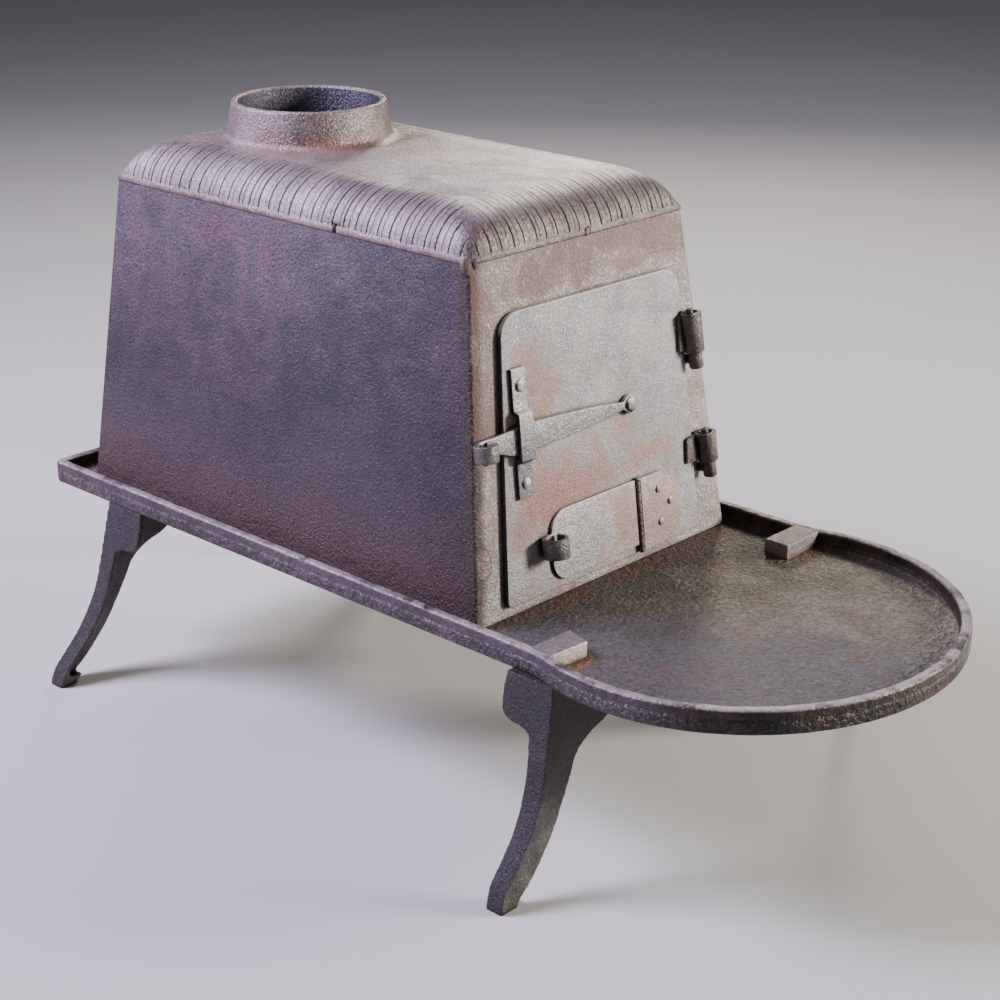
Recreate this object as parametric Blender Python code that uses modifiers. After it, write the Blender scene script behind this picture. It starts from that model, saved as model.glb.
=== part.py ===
"""Small cast-iron box stove: tapered firebox on a pan with a round hearth,
ribbed top with flue collar, hinged front door with latch and draft flap, four
curved legs.

Metres, +Z up.  The origin is on the ground under the middle of the stove's
footprint, the door looks along -Y and the flue collar stands at the rear.
"""
import math

import bpy
import bmesh
from mathutils import Matrix, Vector

# ------------------------------------------------------------------ dimensions
GAP = 0.0003                 # clearance between neighbouring castings

PAN_FLOOR_Z = 0.1830         # top of the pan floor above the ground
PAN_THICK = 0.00735
RIM_TOP = 0.01328            # rim top above the pan floor
RIM_WALL = 0.0095
PAN_HALF_W = 0.1800
PAN_REAR_Y = 0.5453          # from the firebox's front foot
PAN_CORNER_R = 0.010
HEARTH_CY = -0.1409
HEARTH_RX = 0.1907
HEARTH_RY = 0.1799

BOX_FRONT_Y = -0.1122        # firebox front foot in the part's frame
BOX_HALF_W = 0.1620
BOX_LEN = 0.5043
BOX_H = 0.2874
BOX_HALF_W_TOP = 0.1316
BOX_FRONT_TOP = 0.0374       # how far the front leans back at the top
BOX_REAR_TOP = 0.4799
BOX_CORNER_R = 0.0030
WALL = 0.0060

TOP_FLAT_Z = 0.3256
SHOULDER = 0.0456            # width of the rounded shoulder seen from above
TOP_CORNER_R = 0.0200
COLLAR_Y = 0.3643
COLLAR_TOP_Z = 0.3586
COLLAR_R_TOP = 0.0700
COLLAR_R_BASE = 0.0765
COLLAR_BORE_R = 0.0640

DOOR_T = 0.0050
DOOR_OUTLINE = ((-0.1290, 0.0092), (0.1202, 0.0092), (0.1146, 0.2443), (-0.1075, 0.2466))
DOOR_TOP_R = 0.0200
DOOR_FOOT_R = 0.0040

HINGE_X, HINGE_S, HINGE_N = 0.1290, 0.0947, 0.0115
HINGE_LEAN = math.atan2(0.0100, 0.1090)
BARREL_R = (0.0100, 0.0088)
PIN_R = 0.0034
SEAT_R = 0.00625

LATCH_X, LATCH_S = 0.0340, 0.1420
LATCH_N = (0.0058, 0.0103)
CURL_X, CURL_S = -0.1475, (0.1390, 0.1530)
CURL_R = (0.0100, 0.0062)
KEEPER_X, KEEPER_S = -0.0975, 0.1490

FLAP_PIN_X, FLAP_PIN_N = 0.0371, 0.0084
FLAP_N = (0.0056, 0.0083)
LEAF_N = (0.0056, 0.0092)
FLAP_CURL_X, FLAP_CURL_R = -0.0790, (0.01125, 0.0080)

LEG_TOP = -0.00765           # just under the pan
LEG_FRONT_Y = -0.1028        # front face of the front legs
LEG_REAR_Y = 0.4605          # rear face of the rear legs
LEG_PLATE = 0.0060
LEG_DEPTH = 0.0202
REAR_INSET = 0.0054          # the rear legs stand flush with the straight rim
REAR_LEAN = 0.0265           # the rear feet stand this much further back

# ------------------------------------------------------------------ clean start
for ob in list(bpy.data.objects):
    bpy.data.objects.remove(ob, do_unlink=True)
for group in list(bpy.data.collections):
    bpy.data.collections.remove(group)

STOVE = bpy.data.collections.new("box_stove")
TOOLS = bpy.data.collections.new("cutters")
bpy.context.scene.collection.children.link(STOVE)
bpy.context.scene.collection.children.link(TOOLS)

# body frame: x across, y back from the firebox foot, z up from the pan floor
BODY = Matrix.Translation((0.0, BOX_FRONT_Y, PAN_FLOOR_Z))
LEAN = math.atan2(BOX_FRONT_TOP, BOX_H)


def basis(x, y, z, origin=(0, 0, 0)):
    """Matrix whose columns are three axes and an origin."""
    m = Matrix.Identity(4)
    for i, v in enumerate((x, y, z, origin)):
        for k in range(3):
            m[k][i] = v[k]
    return m


# front frame: x across, y up the leaning front face, z out of it
FACE = BODY @ basis((1, 0, 0), (0, math.sin(LEAN), math.cos(LEAN)),
                    (0, -math.cos(LEAN), math.sin(LEAN)))
# hinge frame: z up the hinge line, x across the door, y into the stove
HINGE = FACE @ basis((math.cos(HINGE_LEAN), math.sin(HINGE_LEAN), 0), (0, 0, -1),
                     (-math.sin(HINGE_LEAN), math.cos(HINGE_LEAN), 0),
                     (HINGE_X, HINGE_S, HINGE_N))


# ------------------------------------------------------------------ helpers
def material(name, rgb, rough, metal=0.55):
    m = bpy.data.materials.new(name)
    m.use_nodes = True
    b = m.node_tree.nodes["Principled BSDF"]
    b.inputs["Base Color"].default_value = (*rgb, 1.0)
    b.inputs["Roughness"].default_value = rough
    b.inputs["Metallic"].default_value = metal
    m.diffuse_color = (*rgb, 1.0)
    return m


def place(name, mesh, matrix, tool=False, smooth=None):
    ob = bpy.data.objects.new(name, mesh)
    (TOOLS if tool else STOVE).objects.link(ob)
    ob.matrix_world = matrix
    if tool:
        ob.hide_render = True
        ob.display_type = 'WIRE'
    if smooth:
        mesh.shade_smooth()
        mesh.set_sharp_from_angle(angle=math.radians(smooth))
    return ob


def box(name, low, high, matrix, tool=True):
    bm = bmesh.new()
    bmesh.ops.create_cube(bm, size=1.0)
    size = [h - l for l, h in zip(low, high)]
    mid = [(h + l) / 2 for l, h in zip(low, high)]
    bmesh.ops.scale(bm, vec=size, verts=bm.verts)
    bmesh.ops.translate(bm, vec=mid, verts=bm.verts)
    mesh = bpy.data.meshes.new(name)
    bm.to_mesh(mesh)
    bm.free()
    return place(name, mesh, matrix, tool)


def rod(name, r_low, r_high, z_low, z_high, matrix, seg=32, tool=True):
    bm = bmesh.new()
    bmesh.ops.create_cone(bm, cap_ends=True, segments=seg, radius1=r_low,
                          radius2=r_high, depth=z_high - z_low)
    bmesh.ops.translate(bm, vec=(0, 0, (z_low + z_high) / 2), verts=bm.verts)
    mesh = bpy.data.meshes.new(name)
    bm.to_mesh(mesh)
    bm.free()
    return place(name, mesh, matrix, tool, smooth=40)


def plate(name, points, z_low, z_high, matrix, tool=True, smooth=None):
    """Flat outline with a thickness: a filled 2D curve, made a mesh."""
    curve = bpy.data.curves.new(name, 'CURVE')
    curve.dimensions = '2D'
    curve.fill_mode = 'BOTH'
    curve.extrude = (z_high - z_low) / 2
    line = curve.splines.new('POLY')
    line.points.add(len(points) - 1)
    for p, (x, y) in zip(line.points, points):
        p.co = (x, y, 0.0, 1.0)
    line.use_cyclic_u = True
    flat = bpy.data.objects.new(name + "_outline", curve)
    TOOLS.objects.link(flat)
    flat.matrix_world = matrix @ Matrix.Translation((0, 0, (z_low + z_high) / 2))
    bpy.context.view_layer.update()
    dg = bpy.context.evaluated_depsgraph_get()
    mesh = bpy.data.meshes.new_from_object(flat.evaluated_get(dg))
    bm = bmesh.new()
    bm.from_mesh(mesh)
    bmesh.ops.remove_doubles(bm, verts=bm.verts, dist=1e-6)
    bmesh.ops.recalc_face_normals(bm, faces=bm.faces)
    bm.to_mesh(mesh)
    bm.free()
    mesh.name = name
    world = flat.matrix_world.copy()
    bpy.data.objects.remove(flat, do_unlink=True)
    return place(name, mesh, world, tool, smooth)


def turned(name, profile, matrix, seg=24, tool=False):
    """Solid of revolution: (r, z) points run from the top down the outside."""
    mesh = bpy.data.meshes.new(name)
    bm = bmesh.new()
    verts = [bm.verts.new((r, 0, z)) for r, z in profile]
    for a, b in zip(verts, verts[1:]):
        bm.edges.new((a, b))
    bm.to_mesh(mesh)
    bm.free()
    ob = place(name, mesh, matrix, tool)
    screw = ob.modifiers.new("turn", 'SCREW')
    screw.axis = 'Z'
    screw.angle = math.radians(360)
    screw.steps = seg
    screw.render_steps = seg
    screw.use_merge_vertices = True
    screw.merge_threshold = 0.00001
    screw.use_smooth_shade = True
    return ob


def loft(name, rings, matrix, tool=False, smooth=None):
    """Closed skin through rings of equal point count, bottom ring first."""
    mesh = bpy.data.meshes.new(name)
    bm = bmesh.new()
    rows = [[bm.verts.new(p) for p in ring] for ring in rings]
    n = len(rows[0])
    for a, b in zip(rows, rows[1:]):
        for i in range(n):
            j = (i + 1) % n
            bm.faces.new((a[i], a[j], b[j], b[i]))
    bm.faces.new(list(reversed(rows[0])))
    bm.faces.new(rows[-1])
    bm.to_mesh(mesh)
    bm.free()
    return place(name, mesh, matrix, tool, smooth)


def boolean(ob, other, operation):
    m = ob.modifiers.new(operation.lower(), 'BOOLEAN')
    m.operation = operation
    m.solver = 'EXACT'
    m.object = other
    return ob


def cut(ob, *others):
    for o in others:
        boolean(ob, o, 'DIFFERENCE')


def add(ob, *others):
    for o in others:
        boolean(ob, o, 'UNION')


def arc(cx, cy, r, a0, a1, n):
    return [(cx + r * math.cos(math.radians(a0 + (a1 - a0) * i / n)),
             cy + r * math.sin(math.radians(a0 + (a1 - a0) * i / n))) for i in range(n + 1)]


def rounded(points, radii, n=4):
    """Polygon whose corners are replaced by arcs."""
    out = []
    count = len(points)
    for i, (p, r) in enumerate(zip(points, radii)):
        a = Vector(points[i - 1]) - Vector(p)
        b = Vector(points[(i + 1) % count]) - Vector(p)
        if r <= 0:
            out.append(tuple(p))
            continue
        a.normalize()
        b.normalize()
        half = a.angle(b) / 2
        d = r / math.tan(half)
        centre = Vector(p) + (a + b).normalized() * (r / math.sin(half))
        s = Vector(p) + a * d - centre
        e = Vector(p) + b * d - centre
        turn = math.atan2(s.x * e.y - s.y * e.x, s.dot(e))
        for k in range(n + 1):
            t = turn * k / n
            c, sn = math.cos(t), math.sin(t)
            out.append((centre.x + s.x * c - s.y * sn, centre.y + s.x * sn + s.y * c))
    return out


def smooth_line(points, n=3):
    """Catmull-Rom curve through the points."""
    out = []
    last = len(points) - 1
    for i in range(last):
        p0, p1, p2, p3 = (Vector(points[max(i - 1, 0)]), Vector(points[i]),
                          Vector(points[i + 1]), Vector(points[min(i + 2, last)]))
        for k in range(n):
            t = k / n
            q = 0.5 * (2 * p1 + (p2 - p0) * t + (2 * p0 - 5 * p1 + 4 * p2 - p3) * t * t
                       + (3 * p1 - p0 - 3 * p2 + p3) * t ** 3)
            out.append((q.x, q.y))
    out.append(tuple(points[-1]))
    return out


def mirrored(points):
    return [(-x, y) for x, y in reversed(points)]


def box_ring(z, inset, r, n=4):
    """Horizontal section of the tapered firebox at height z."""
    t = z / BOX_H
    hx = BOX_HALF_W + (BOX_HALF_W_TOP - BOX_HALF_W) * t - inset
    y0 = BOX_FRONT_TOP * t + inset
    y1 = BOX_LEN + (BOX_REAR_TOP - BOX_LEN) * t - inset
    return rect_ring(hx, y0, y1, z, r, n)


def rect_ring(hx, y0, y1, z, r, n=4):
    pts = (arc(hx - r, y1 - r, r, 0, 90, n) + arc(-hx + r, y1 - r, r, 90, 180, n)
           + arc(-hx + r, y0 + r, r, 180, 270, n) + arc(hx - r, y0 + r, r, 270, 360, n))
    return [(x, y, z) for x, y in pts]


# ------------------------------------------------------------------ materials
IRON_PAN = material("pan_iron", (0.16, 0.13, 0.12), 0.62)
IRON_BODY = material("body_iron", (0.22, 0.17, 0.18), 0.66)
IRON_TOP = material("top_iron", (0.30, 0.25, 0.24), 0.60)
IRON_DOOR = material("door_iron", (0.42, 0.38, 0.36), 0.64)
IRON_LEG = material("leg_iron", (0.15, 0.12, 0.13), 0.60)
STEEL_FIT = material("fitting_steel", (0.38, 0.36, 0.35), 0.52, 0.7)

# ------------------------------------------------------------------ base pan
def pan_outline(inset):
    rx, ry, hx = HEARTH_RX - inset, HEARTH_RY - inset, PAN_HALF_W - inset
    neck = math.degrees(math.acos(hx / rx))
    r = PAN_CORNER_R - inset * 0.5
    y1 = PAN_REAR_Y - inset
    steps = 40
    hearth = []
    for i in range(steps + 1):
        a = math.radians(180 - neck + (180 + 2 * neck) * i / steps)
        hearth.append((rx * math.cos(a), HEARTH_CY + ry * math.sin(a)))
    return hearth + arc(hx - r, y1 - r, r, 0, 90, 3) + arc(-hx + r, y1 - r, r, 90, 180, 3)


pan = plate("base_pan", pan_outline(0.0), -PAN_THICK, RIM_TOP, BODY, tool=False)
pan.data.materials.append(IRON_PAN)
cut(pan, plate("pan_hollow", pan_outline(RIM_WALL), 0.0, 0.03, BODY))
# raised pockets that take the legs' tenons from below
FRONT_POCKET = (0.1345, 0.1660, -0.0892, -0.0728)
REAR_POCKET = (0.1200, 0.1508, 0.4305, 0.4469)
for side, sx in (("left", -1), ("right", 1)):
    for end, (x0, x1, y0, y1) in (("front", FRONT_POCKET), ("rear", REAR_POCKET)):
        xa, xb = sorted((sx * x0, sx * x1))
        grow = 0.0045 if end == "front" else 0.0
        block = ((xa - 0.0045 - (grow if sx < 0 else 0), y0 - 0.0040, -0.002),
                 (xb + 0.0045 + (grow if sx > 0 else 0), y1 + 0.0040, RIM_TOP))
        if end == "rear":
            block = ((sx * 0.1350 - 0.0185, y0 - 0.004, -0.002),
                     (sx * 0.1350 + 0.0185, y1 + 0.004, RIM_TOP - 0.0005))
        add(pan, box(f"{end}_{side}_pocket_block", *block, BODY))
        cut(pan, box(f"{end}_{side}_pocket", (xa, y0, -0.02), (xb, y1, 0.0085), BODY))

# ------------------------------------------------------------------ firebox
firebox = loft("firebox_body", [box_ring(GAP, 0, BOX_CORNER_R), box_ring(BOX_H, 0, BOX_CORNER_R)],
               BODY, smooth=40)
firebox.data.materials.append(IRON_BODY)
cut(firebox, loft("firebox_hollow", [box_ring(-0.02, WALL, 0.003), box_ring(0.31, WALL, 0.003)],
                  BODY, tool=True))
OPENING = ((-0.1170, 0.0200), (0.1085, 0.0200), (0.1035, 0.2335), (-0.0975, 0.2350))
cut(firebox, plate("door_opening", rounded(OPENING, (0.006, 0.006, 0.012, 0.012), 3),
                   -0.03, 0.02, FACE))

# ------------------------------------------------------------------ ribbed top with flue collar
def shoulder_rings(inset, z_from, steps=7):
    rings = [rect_ring(BOX_HALF_W_TOP - inset, BOX_FRONT_TOP + inset, BOX_REAR_TOP - inset,
                       z_from, max(BOX_CORNER_R - inset * 0.8, 0.0012))]
    for i in range(1, steps + 1):
        t = math.radians(90 * i / steps)
        off = (SHOULDER - inset * 0.4) * (1 - math.cos(t)) + inset
        z = BOX_H + (TOP_FLAT_Z - BOX_H - inset) * math.sin(t)
        # the corners are sharp at the foot of the shoulder and soften quickly above it
        ease = min(1.0, t / 0.35)
        ease = ease * ease * (3 - 2 * ease)
        r = BOX_CORNER_R + 0.0100 * ease + (TOP_CORNER_R - BOX_CORNER_R - 0.0100) * (1 - math.cos(t))
        r = max(r - inset * 0.8, 0.0012)
        rings.append(rect_ring(BOX_HALF_W_TOP - off, BOX_FRONT_TOP + off, BOX_REAR_TOP - off, z, r))
    return rings


top = loft("top_plate", shoulder_rings(0.0, BOX_H + GAP), BODY, smooth=35)
top.data.materials.append(IRON_TOP)
COLLAR = BODY @ Matrix.Translation((0, COLLAR_Y, 0))
add(top, rod("collar_outside", COLLAR_R_BASE, COLLAR_R_TOP, 0.3150, COLLAR_TOP_Z, COLLAR, 48))
cut(top, loft("top_hollow", shoulder_rings(WALL, BOX_H - 0.02), BODY, tool=True),
    rod("collar_bore", COLLAR_BORE_R, COLLAR_BORE_R, 0.30, 0.38, COLLAR, 48))

# ------------------------------------------------------------------ legs
LEG_OUTER = smooth_line([(-0.1854, LEG_TOP), (-0.1904, -0.0530), (-0.1955, -0.0906),
                         (-0.2033, -0.1138), (-0.2122, -0.1321), (-0.2235, -0.1477),
                         (-0.2382, -0.1670), (-0.2426, -0.1830)])
LEG_INNER = smooth_line([(-0.2232, -0.1830), (-0.2210, -0.1776), (-0.2095, -0.1674),
                         (-0.1980, -0.1544), (-0.1843, -0.1352), (-0.1729, -0.1131),
                         (-0.1639, -0.0927), (-0.1560, -0.0737), (-0.1408, -0.0620),
                         (-0.1205, -0.0546), (-0.1120, -0.0450), (-0.1100, -0.0300),
                         (-0.1100, LEG_TOP)])
# side view of a front leg: (distance back from the front face, height)
LEG_EAR = smooth_line([(0.0172, -0.1830), (0.0185, -0.1200), (0.0202, -0.0600),
                       (0.0225, -0.0515), (0.0315, -0.0486), (0.0400, -0.0479),
                       (0.0464, -0.0449), (0.0505, -0.0377), (0.0507, -0.0247),
                       (0.0480, LEG_TOP)])
LEG_SIDE = [(0.0, LEG_TOP), (0.0, -0.1830)] + LEG_EAR
SIDE = basis((0, 1, 0), (0, 0, 1), (1, 0, 0))          # draws in y, z and extrudes along x
UPRIGHT = basis((1, 0, 0), (0, 0, 1), (0, -1, 0))      # draws in x, z and extrudes along -y


def leg(name, right, rear):
    """Curved plate with an outer flange, a lobe and a web at the top, and a tenon."""
    ob = plate(name, LEG_OUTER + LEG_INNER, -0.0520, 0.0, UPRIGHT, tool=False)
    boolean(ob, plate(name + "_side_view", LEG_SIDE, -0.26, -0.10, SIDE), 'INTERSECT')
    inside = [(x + LEG_PLATE, z) for x, z in LEG_OUTER if LEG_TOP - 0.006 > z > -0.172]
    inside = ([(LEG_OUTER[0][0] + LEG_PLATE + 0.0006, LEG_TOP - 0.006)] + inside
              + [(inside[-1][0] + 0.004, -0.174), (-0.06, -0.174), (-0.06, LEG_TOP - 0.006)])
    cut(ob, plate(name + "_hollow", inside, -0.08, -LEG_PLATE, UPRIGHT))
    x0, x1 = (-0.1505 - REAR_INSET, -0.1203 - REAR_INSET) if rear else (-0.1657, -0.1348)
    add(ob, box(name + "_tenon", (x0, 0.0139, LEG_TOP - 0.004), (x1, 0.0297, 0.0080), Matrix.Identity(4)))
    # the solid is evaluated once, then set in its own corner of the pan
    bpy.context.view_layer.update()
    dg = bpy.context.evaluated_depsgraph_get()
    mesh = bpy.data.meshes.new_from_object(ob.evaluated_get(dg))
    mesh.transform(ob.matrix_world)
    ob.modifiers.clear()
    ob.data = mesh
    for v in mesh.vertices:
        x, y, z = v.co
        if rear:
            down = max(0.0, (LEG_TOP - z) / (0.1830 + LEG_TOP))
            x, y = x + REAR_INSET * (1 - down), LEG_REAR_Y - (y - REAR_LEAN * down)
        else:
            y += LEG_FRONT_Y
        v.co = (-x if right else x, y, z)
    if right != rear:
        mesh.flip_normals()
    ob.matrix_world = BODY
    mesh.shade_smooth()
    mesh.set_sharp_from_angle(angle=math.radians(35))
    mesh.materials.clear()
    mesh.materials.append(IRON_LEG)
    return ob


leg("front_left_leg", False, False)
leg("front_right_leg", True, False)
leg("rear_left_leg", False, True)
leg("rear_right_leg", True, True)

# ------------------------------------------------------------------ hinge pins in the front wall
def hinge_t(s):
    return (s - HINGE_S) / math.cos(HINGE_LEAN)


def hinge_point(s):
    return HINGE_X - (s - HINGE_S) * math.tan(HINGE_LEAN), s


for name, s_low, s_high in (("lower_hinge_pin", 0.0684, 0.0947), ("upper_hinge_pin", 0.1685, 0.2036)):
    seat_low, seat_high = hinge_t(s_low) - 0.0150, hinge_t(s_low) - GAP
    pin = rod(name, SEAT_R, SEAT_R, seat_low, seat_high, HINGE, 24, tool=False)
    pin.data.materials.append(STEEL_FIT)
    x, s = hinge_point(s_low - 0.0075)
    foot = FACE @ Matrix.Translation((x, s, 0))
    add(pin, rod(name + "_upright", PIN_R, PIN_R, seat_low + 0.002, hinge_t(s_high) + 0.0030, HINGE, 24),
        rod(name + "_shank", 0.0042, 0.0042, -0.0080, HINGE_N, foot, 20),
        rod(name + "_clench", 0.0068, 0.0078, -0.0092, -WALL - GAP, foot, 20))
    cut(firebox, rod(name + "_hole", 0.0046, 0.0046, -0.02, 0.01, foot, 20))

# ------------------------------------------------------------------ latch catch
hook_plan = [(-0.1365, -0.0090), (-0.1305, -0.0090), (-0.1305, 0.0020), (-0.1440, 0.0178),
             (-0.1508, 0.0178), (-0.1508, 0.0130), (-0.1470, 0.0125), (-0.1365, 0.0008)]
PLAN = FACE @ basis((1, 0, 0), (0, 0, 1), (0, -1, 0))      # draws in x, n and extrudes down the face
catch = plate("latch_catch", hook_plan, -0.1386, -0.1362, PLAN, tool=False)
catch.data.materials.append(STEEL_FIT)
add(catch, box("latch_catch_lip", (-0.1505, 0.1370, 0.0134), (-0.1447, 0.1468, 0.0177), FACE),
    box("latch_catch_tail", (-0.1380, 0.1335, -0.0092), (-0.1290, 0.1413, -WALL - GAP), FACE))
cut(firebox, box("latch_catch_slot", (-0.1368, 0.1359, -0.02), (-0.1302, 0.1389, 0.01), FACE))

# ------------------------------------------------------------------ door
door_axis = bpy.data.objects.new("door_hinge_axis", None)
STOVE.objects.link(door_axis)
door_axis.matrix_world = HINGE
latch_axis = bpy.data.objects.new("latch_axis", None)
STOVE.objects.link(latch_axis)
latch_axis.matrix_world = FACE @ Matrix.Translation((LATCH_X, LATCH_S, LATCH_N[0]))
flap_axis = bpy.data.objects.new("draft_flap_axis", None)
STOVE.objects.link(flap_axis)
flap_axis.matrix_world = FACE @ Matrix.Translation((FLAP_PIN_X, 0.0450, FLAP_PIN_N))


def hang(ob, parent):
    """Parent a piece to its joint's empty and keep it where it is."""
    bpy.context.view_layer.update()
    world = ob.matrix_world.copy()
    ob.parent = parent
    ob.matrix_parent_inverse = parent.matrix_world.inverted()
    ob.matrix_world = world


DOOR_Z = (GAP, GAP + DOOR_T)
door = plate("door_plate", rounded(DOOR_OUTLINE, (DOOR_FOOT_R, DOOR_FOOT_R, DOOR_TOP_R, DOOR_TOP_R), 5),
             *DOOR_Z, FACE, tool=False)
door.data.materials.append(IRON_DOOR)
for tag, s_low, s_high in (("lower", 0.0684, 0.0947), ("upper", 0.1685, 0.2036)):
    x_low, x_high = hinge_point(s_low)[0], hinge_point(s_high)[0]
    add(door, rod(f"{tag}_barrel", BARREL_R[1], BARREL_R[0], hinge_t(s_low), hinge_t(s_high), HINGE, 28),
        box(f"{tag}_barrel_lug", (0.1080, s_low + 0.001, 0.0022), (x_low - 0.0052, s_high - 0.001, 0.0092), FACE))
    cut(door, rod(f"{tag}_barrel_bore", PIN_R + GAP, PIN_R + GAP, hinge_t(s_low) - 0.01,
                  hinge_t(s_high) + 0.01, HINGE, 24))
cut(door, plate("draft_hole", rounded(((-0.055, 0.022), (0.025, 0.022), (0.025, 0.065), (-0.055, 0.065)),
                                      (0.006,) * 4, 3), -0.01, 0.02, FACE))


def rivet(name, spots, head_r, head_h, shank_r, n_head, parent, tilt=None):
    """Domed heads with shanks clenched behind the door; holes go through it."""
    first = None
    for i, (x, s) in enumerate(spots):
        n0, n1 = n_head, 0.0
        dome = [(head_r * math.sin(math.radians(a)), n0 + head_h * math.cos(math.radians(a)))
                for a in (0, 20, 40, 60, 78)]
        profile = dome + [(head_r, n0), (shank_r, n0), (shank_r, n1), (shank_r * 1.5, n1),
                          (shank_r * 1.35, n1 - 0.0012), (0, n1 - 0.0012)]
        at = FACE @ Matrix.Translation((x, s, 0))
        ob = turned(name if i == 0 else f"{name}_{i}", profile, at, 20)
        ob.data.materials.append(STEEL_FIT)
        cut(door, rod(f"{name}_{i}_hole", shank_r + GAP, shank_r + GAP, -0.01, 0.03, at, 20))
        hang(ob, parent)
        first = first or ob
    return first


# keeper strap: a riveted loop of strip that the latch arm lies in
KEEP = (FACE @ Matrix.Translation((KEEPER_X, 0, 0)) @ basis((0.0279, 0.99961, 0), (0, 0, 1), (0.99961, -0.0279, 0),
                                                            (-0.0279 * KEEPER_S, 0, 0)))
keeper_line = [(0.0955, 0.0086), (0.0955, 0.0056), (0.1270, 0.0056), (0.1295, 0.0112), (0.1640, 0.0112),
               (0.1665, 0.0056), (0.2025, 0.0056), (0.2025, 0.0086), (0.1690, 0.0086), (0.1662, 0.0142),
               (0.1273, 0.0142), (0.1245, 0.0086)]
keeper = plate("latch_keeper", keeper_line, -0.0085, 0.0085, KEEP, tool=False)
keeper.data.materials.append(STEEL_FIT)
for spot, tag in (((-0.0960, 0.1880), "upper"), ((-0.0985, 0.1080), "lower")):
    rivet(f"{tag}_keeper_rivet", [spot], 0.0050, 0.0026, 0.0027, 0.0089, door_axis)
    cut(keeper, rod(f"{tag}_keeper_hole", 0.0030, 0.0030, 0.0, 0.02,
                    FACE @ Matrix.Translation((spot[0], spot[1], 0)), 20))

# draft flap, its hinge leaf and pin
def knuckle(name, s_low, s_high, web_x, web_n):
    """One hinge knuckle with its web, standing along the face."""
    at = FACE @ Matrix.Translation((FLAP_PIN_X, 0, FLAP_PIN_N)) @ basis((1, 0, 0), (0, 0, -1), (0, 1, 0))
    return (rod(name, 0.0025, 0.0025, s_low, s_high, at, 16),
            box(name + "_web", (min(web_x, FLAP_PIN_X), s_low, web_n[0]), (max(web_x, FLAP_PIN_X), s_high, web_n[1]), FACE))


PIN_LINE = FACE @ Matrix.Translation((FLAP_PIN_X, 0, FLAP_PIN_N)) @ basis((1, 0, 0), (0, 0, -1), (0, 1, 0))
leaf_line = [(0.0408, 0.0110), (0.0670, 0.0110), (0.0784, 0.0132), (0.0870, 0.0205), (0.0960, 0.0314),
             (0.0950, 0.0500), (0.0683, 0.0736), (0.0408, 0.0742)]
leaf = plate("draft_hinge_leaf", leaf_line, *LEAF_N, FACE, tool=False)
leaf.data.materials.append(STEEL_FIT)
add(leaf, *knuckle("leaf_knuckle_low", 0.0112, 0.0335, 0.0440, (0.0065, 0.0085)),
    *knuckle("leaf_knuckle_high", 0.0553, 0.0740, 0.0440, (0.0065, 0.0085)))
cut(leaf, rod("leaf_bore", 0.0015, 0.0015, 0.0, 0.09, PIN_LINE, 16))

flap_line = rounded([(-0.0747, 0.0155), (0.0332, 0.0170), (0.0332, 0.0746), (-0.0740, 0.0750)],
                    (0.014, 0.0, 0.0, 0.016), 5)
flap = plate("draft_flap", flap_line, *FLAP_N, FACE, tool=False)
flap.data.materials.append(STEEL_FIT)
add(flap, *knuckle("flap_knuckle", 0.0340, 0.0548, 0.0300, (0.0062, 0.0081)))


def curl(name, x, n_low, radii, s_low, s_high, sweep=305):
    """Strip end rolled outwards into a finger loop."""
    cn = n_low + radii[0]
    line = arc(x, cn, radii[0], -82, -90 - sweep, 24) + arc(x, cn, radii[1], -90 - sweep, -82, 24)
    return plate(name, line, -s_high, -s_low, PLAN, smooth=35)


add(flap, box("flap_tongue", (FLAP_CURL_X, 0.0405, FLAP_N[0]), (-0.0700, 0.0575, FLAP_N[1]), FACE),
    curl("flap_curl", FLAP_CURL_X, FLAP_N[0], FLAP_CURL_R, 0.0405, 0.0575))
cut(flap, rod("flap_bore", 0.0015, 0.0015, 0.0, 0.09, PIN_LINE, 16))
flap_pin = turned("draft_hinge_pin", [(0, 0.0762), (0.0020, 0.0760), (0.0024, 0.0745), (0.0012, 0.0745),
                                      (0.0012, 0.0107), (0.0022, 0.0107), (0.0020, 0.0096), (0, 0.0096)], PIN_LINE, 16)
flap_pin.data.materials.append(STEEL_FIT)
LEAF_RIVETS = (("upper_leaf_rivet", (0.0627, 0.0598)), ("middle_leaf_rivet", (0.0777, 0.0456)),
               ("lower_leaf_rivet", (0.0635, 0.0303)))
for name, spot in LEAF_RIVETS:
    rivet(name, [spot], 0.0034, 0.0017, 0.0018, LEAF_N[1] + GAP, door_axis)
    cut(leaf, rod(name + "_leaf_hole", 0.0021, 0.0021, 0.0, 0.02,
                  FACE @ Matrix.Translation((spot[0], spot[1], 0)), 20))

# ------------------------------------------------------------------ latch arm
arm_line = ([(-0.1475, 0.1390), (-0.1270, 0.1390), (-0.1120, 0.1336), (-0.0850, 0.1332), (-0.0450, 0.1342),
             (-0.0055, 0.1358), (0.0200, 0.1382)]
            + arc(LATCH_X, LATCH_S, 0.0080, 205, 515, 18)
            + [(0.0200, 0.1462), (-0.0055, 0.1498), (-0.0450, 0.1532), (-0.0850, 0.1559), (-0.1120, 0.1545),
               (-0.1475, 0.1530)])
arm = plate("latch_arm", arm_line, *LATCH_N, FACE, tool=False, smooth=30)
arm.data.materials.append(STEEL_FIT)
add(arm, curl("arm_curl", CURL_X, LATCH_N[0], CURL_R, *CURL_S))
cut(arm, rod("latch_pivot_hole", 0.0038, 0.0038, 0.0, 0.02,
             FACE @ Matrix.Translation((LATCH_X, LATCH_S, 0)), 20))
rivet("latch_pivot_rivet", [(LATCH_X, LATCH_S)], 0.0066, 0.0040, 0.0035, LATCH_N[1] + GAP, door_axis)

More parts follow.
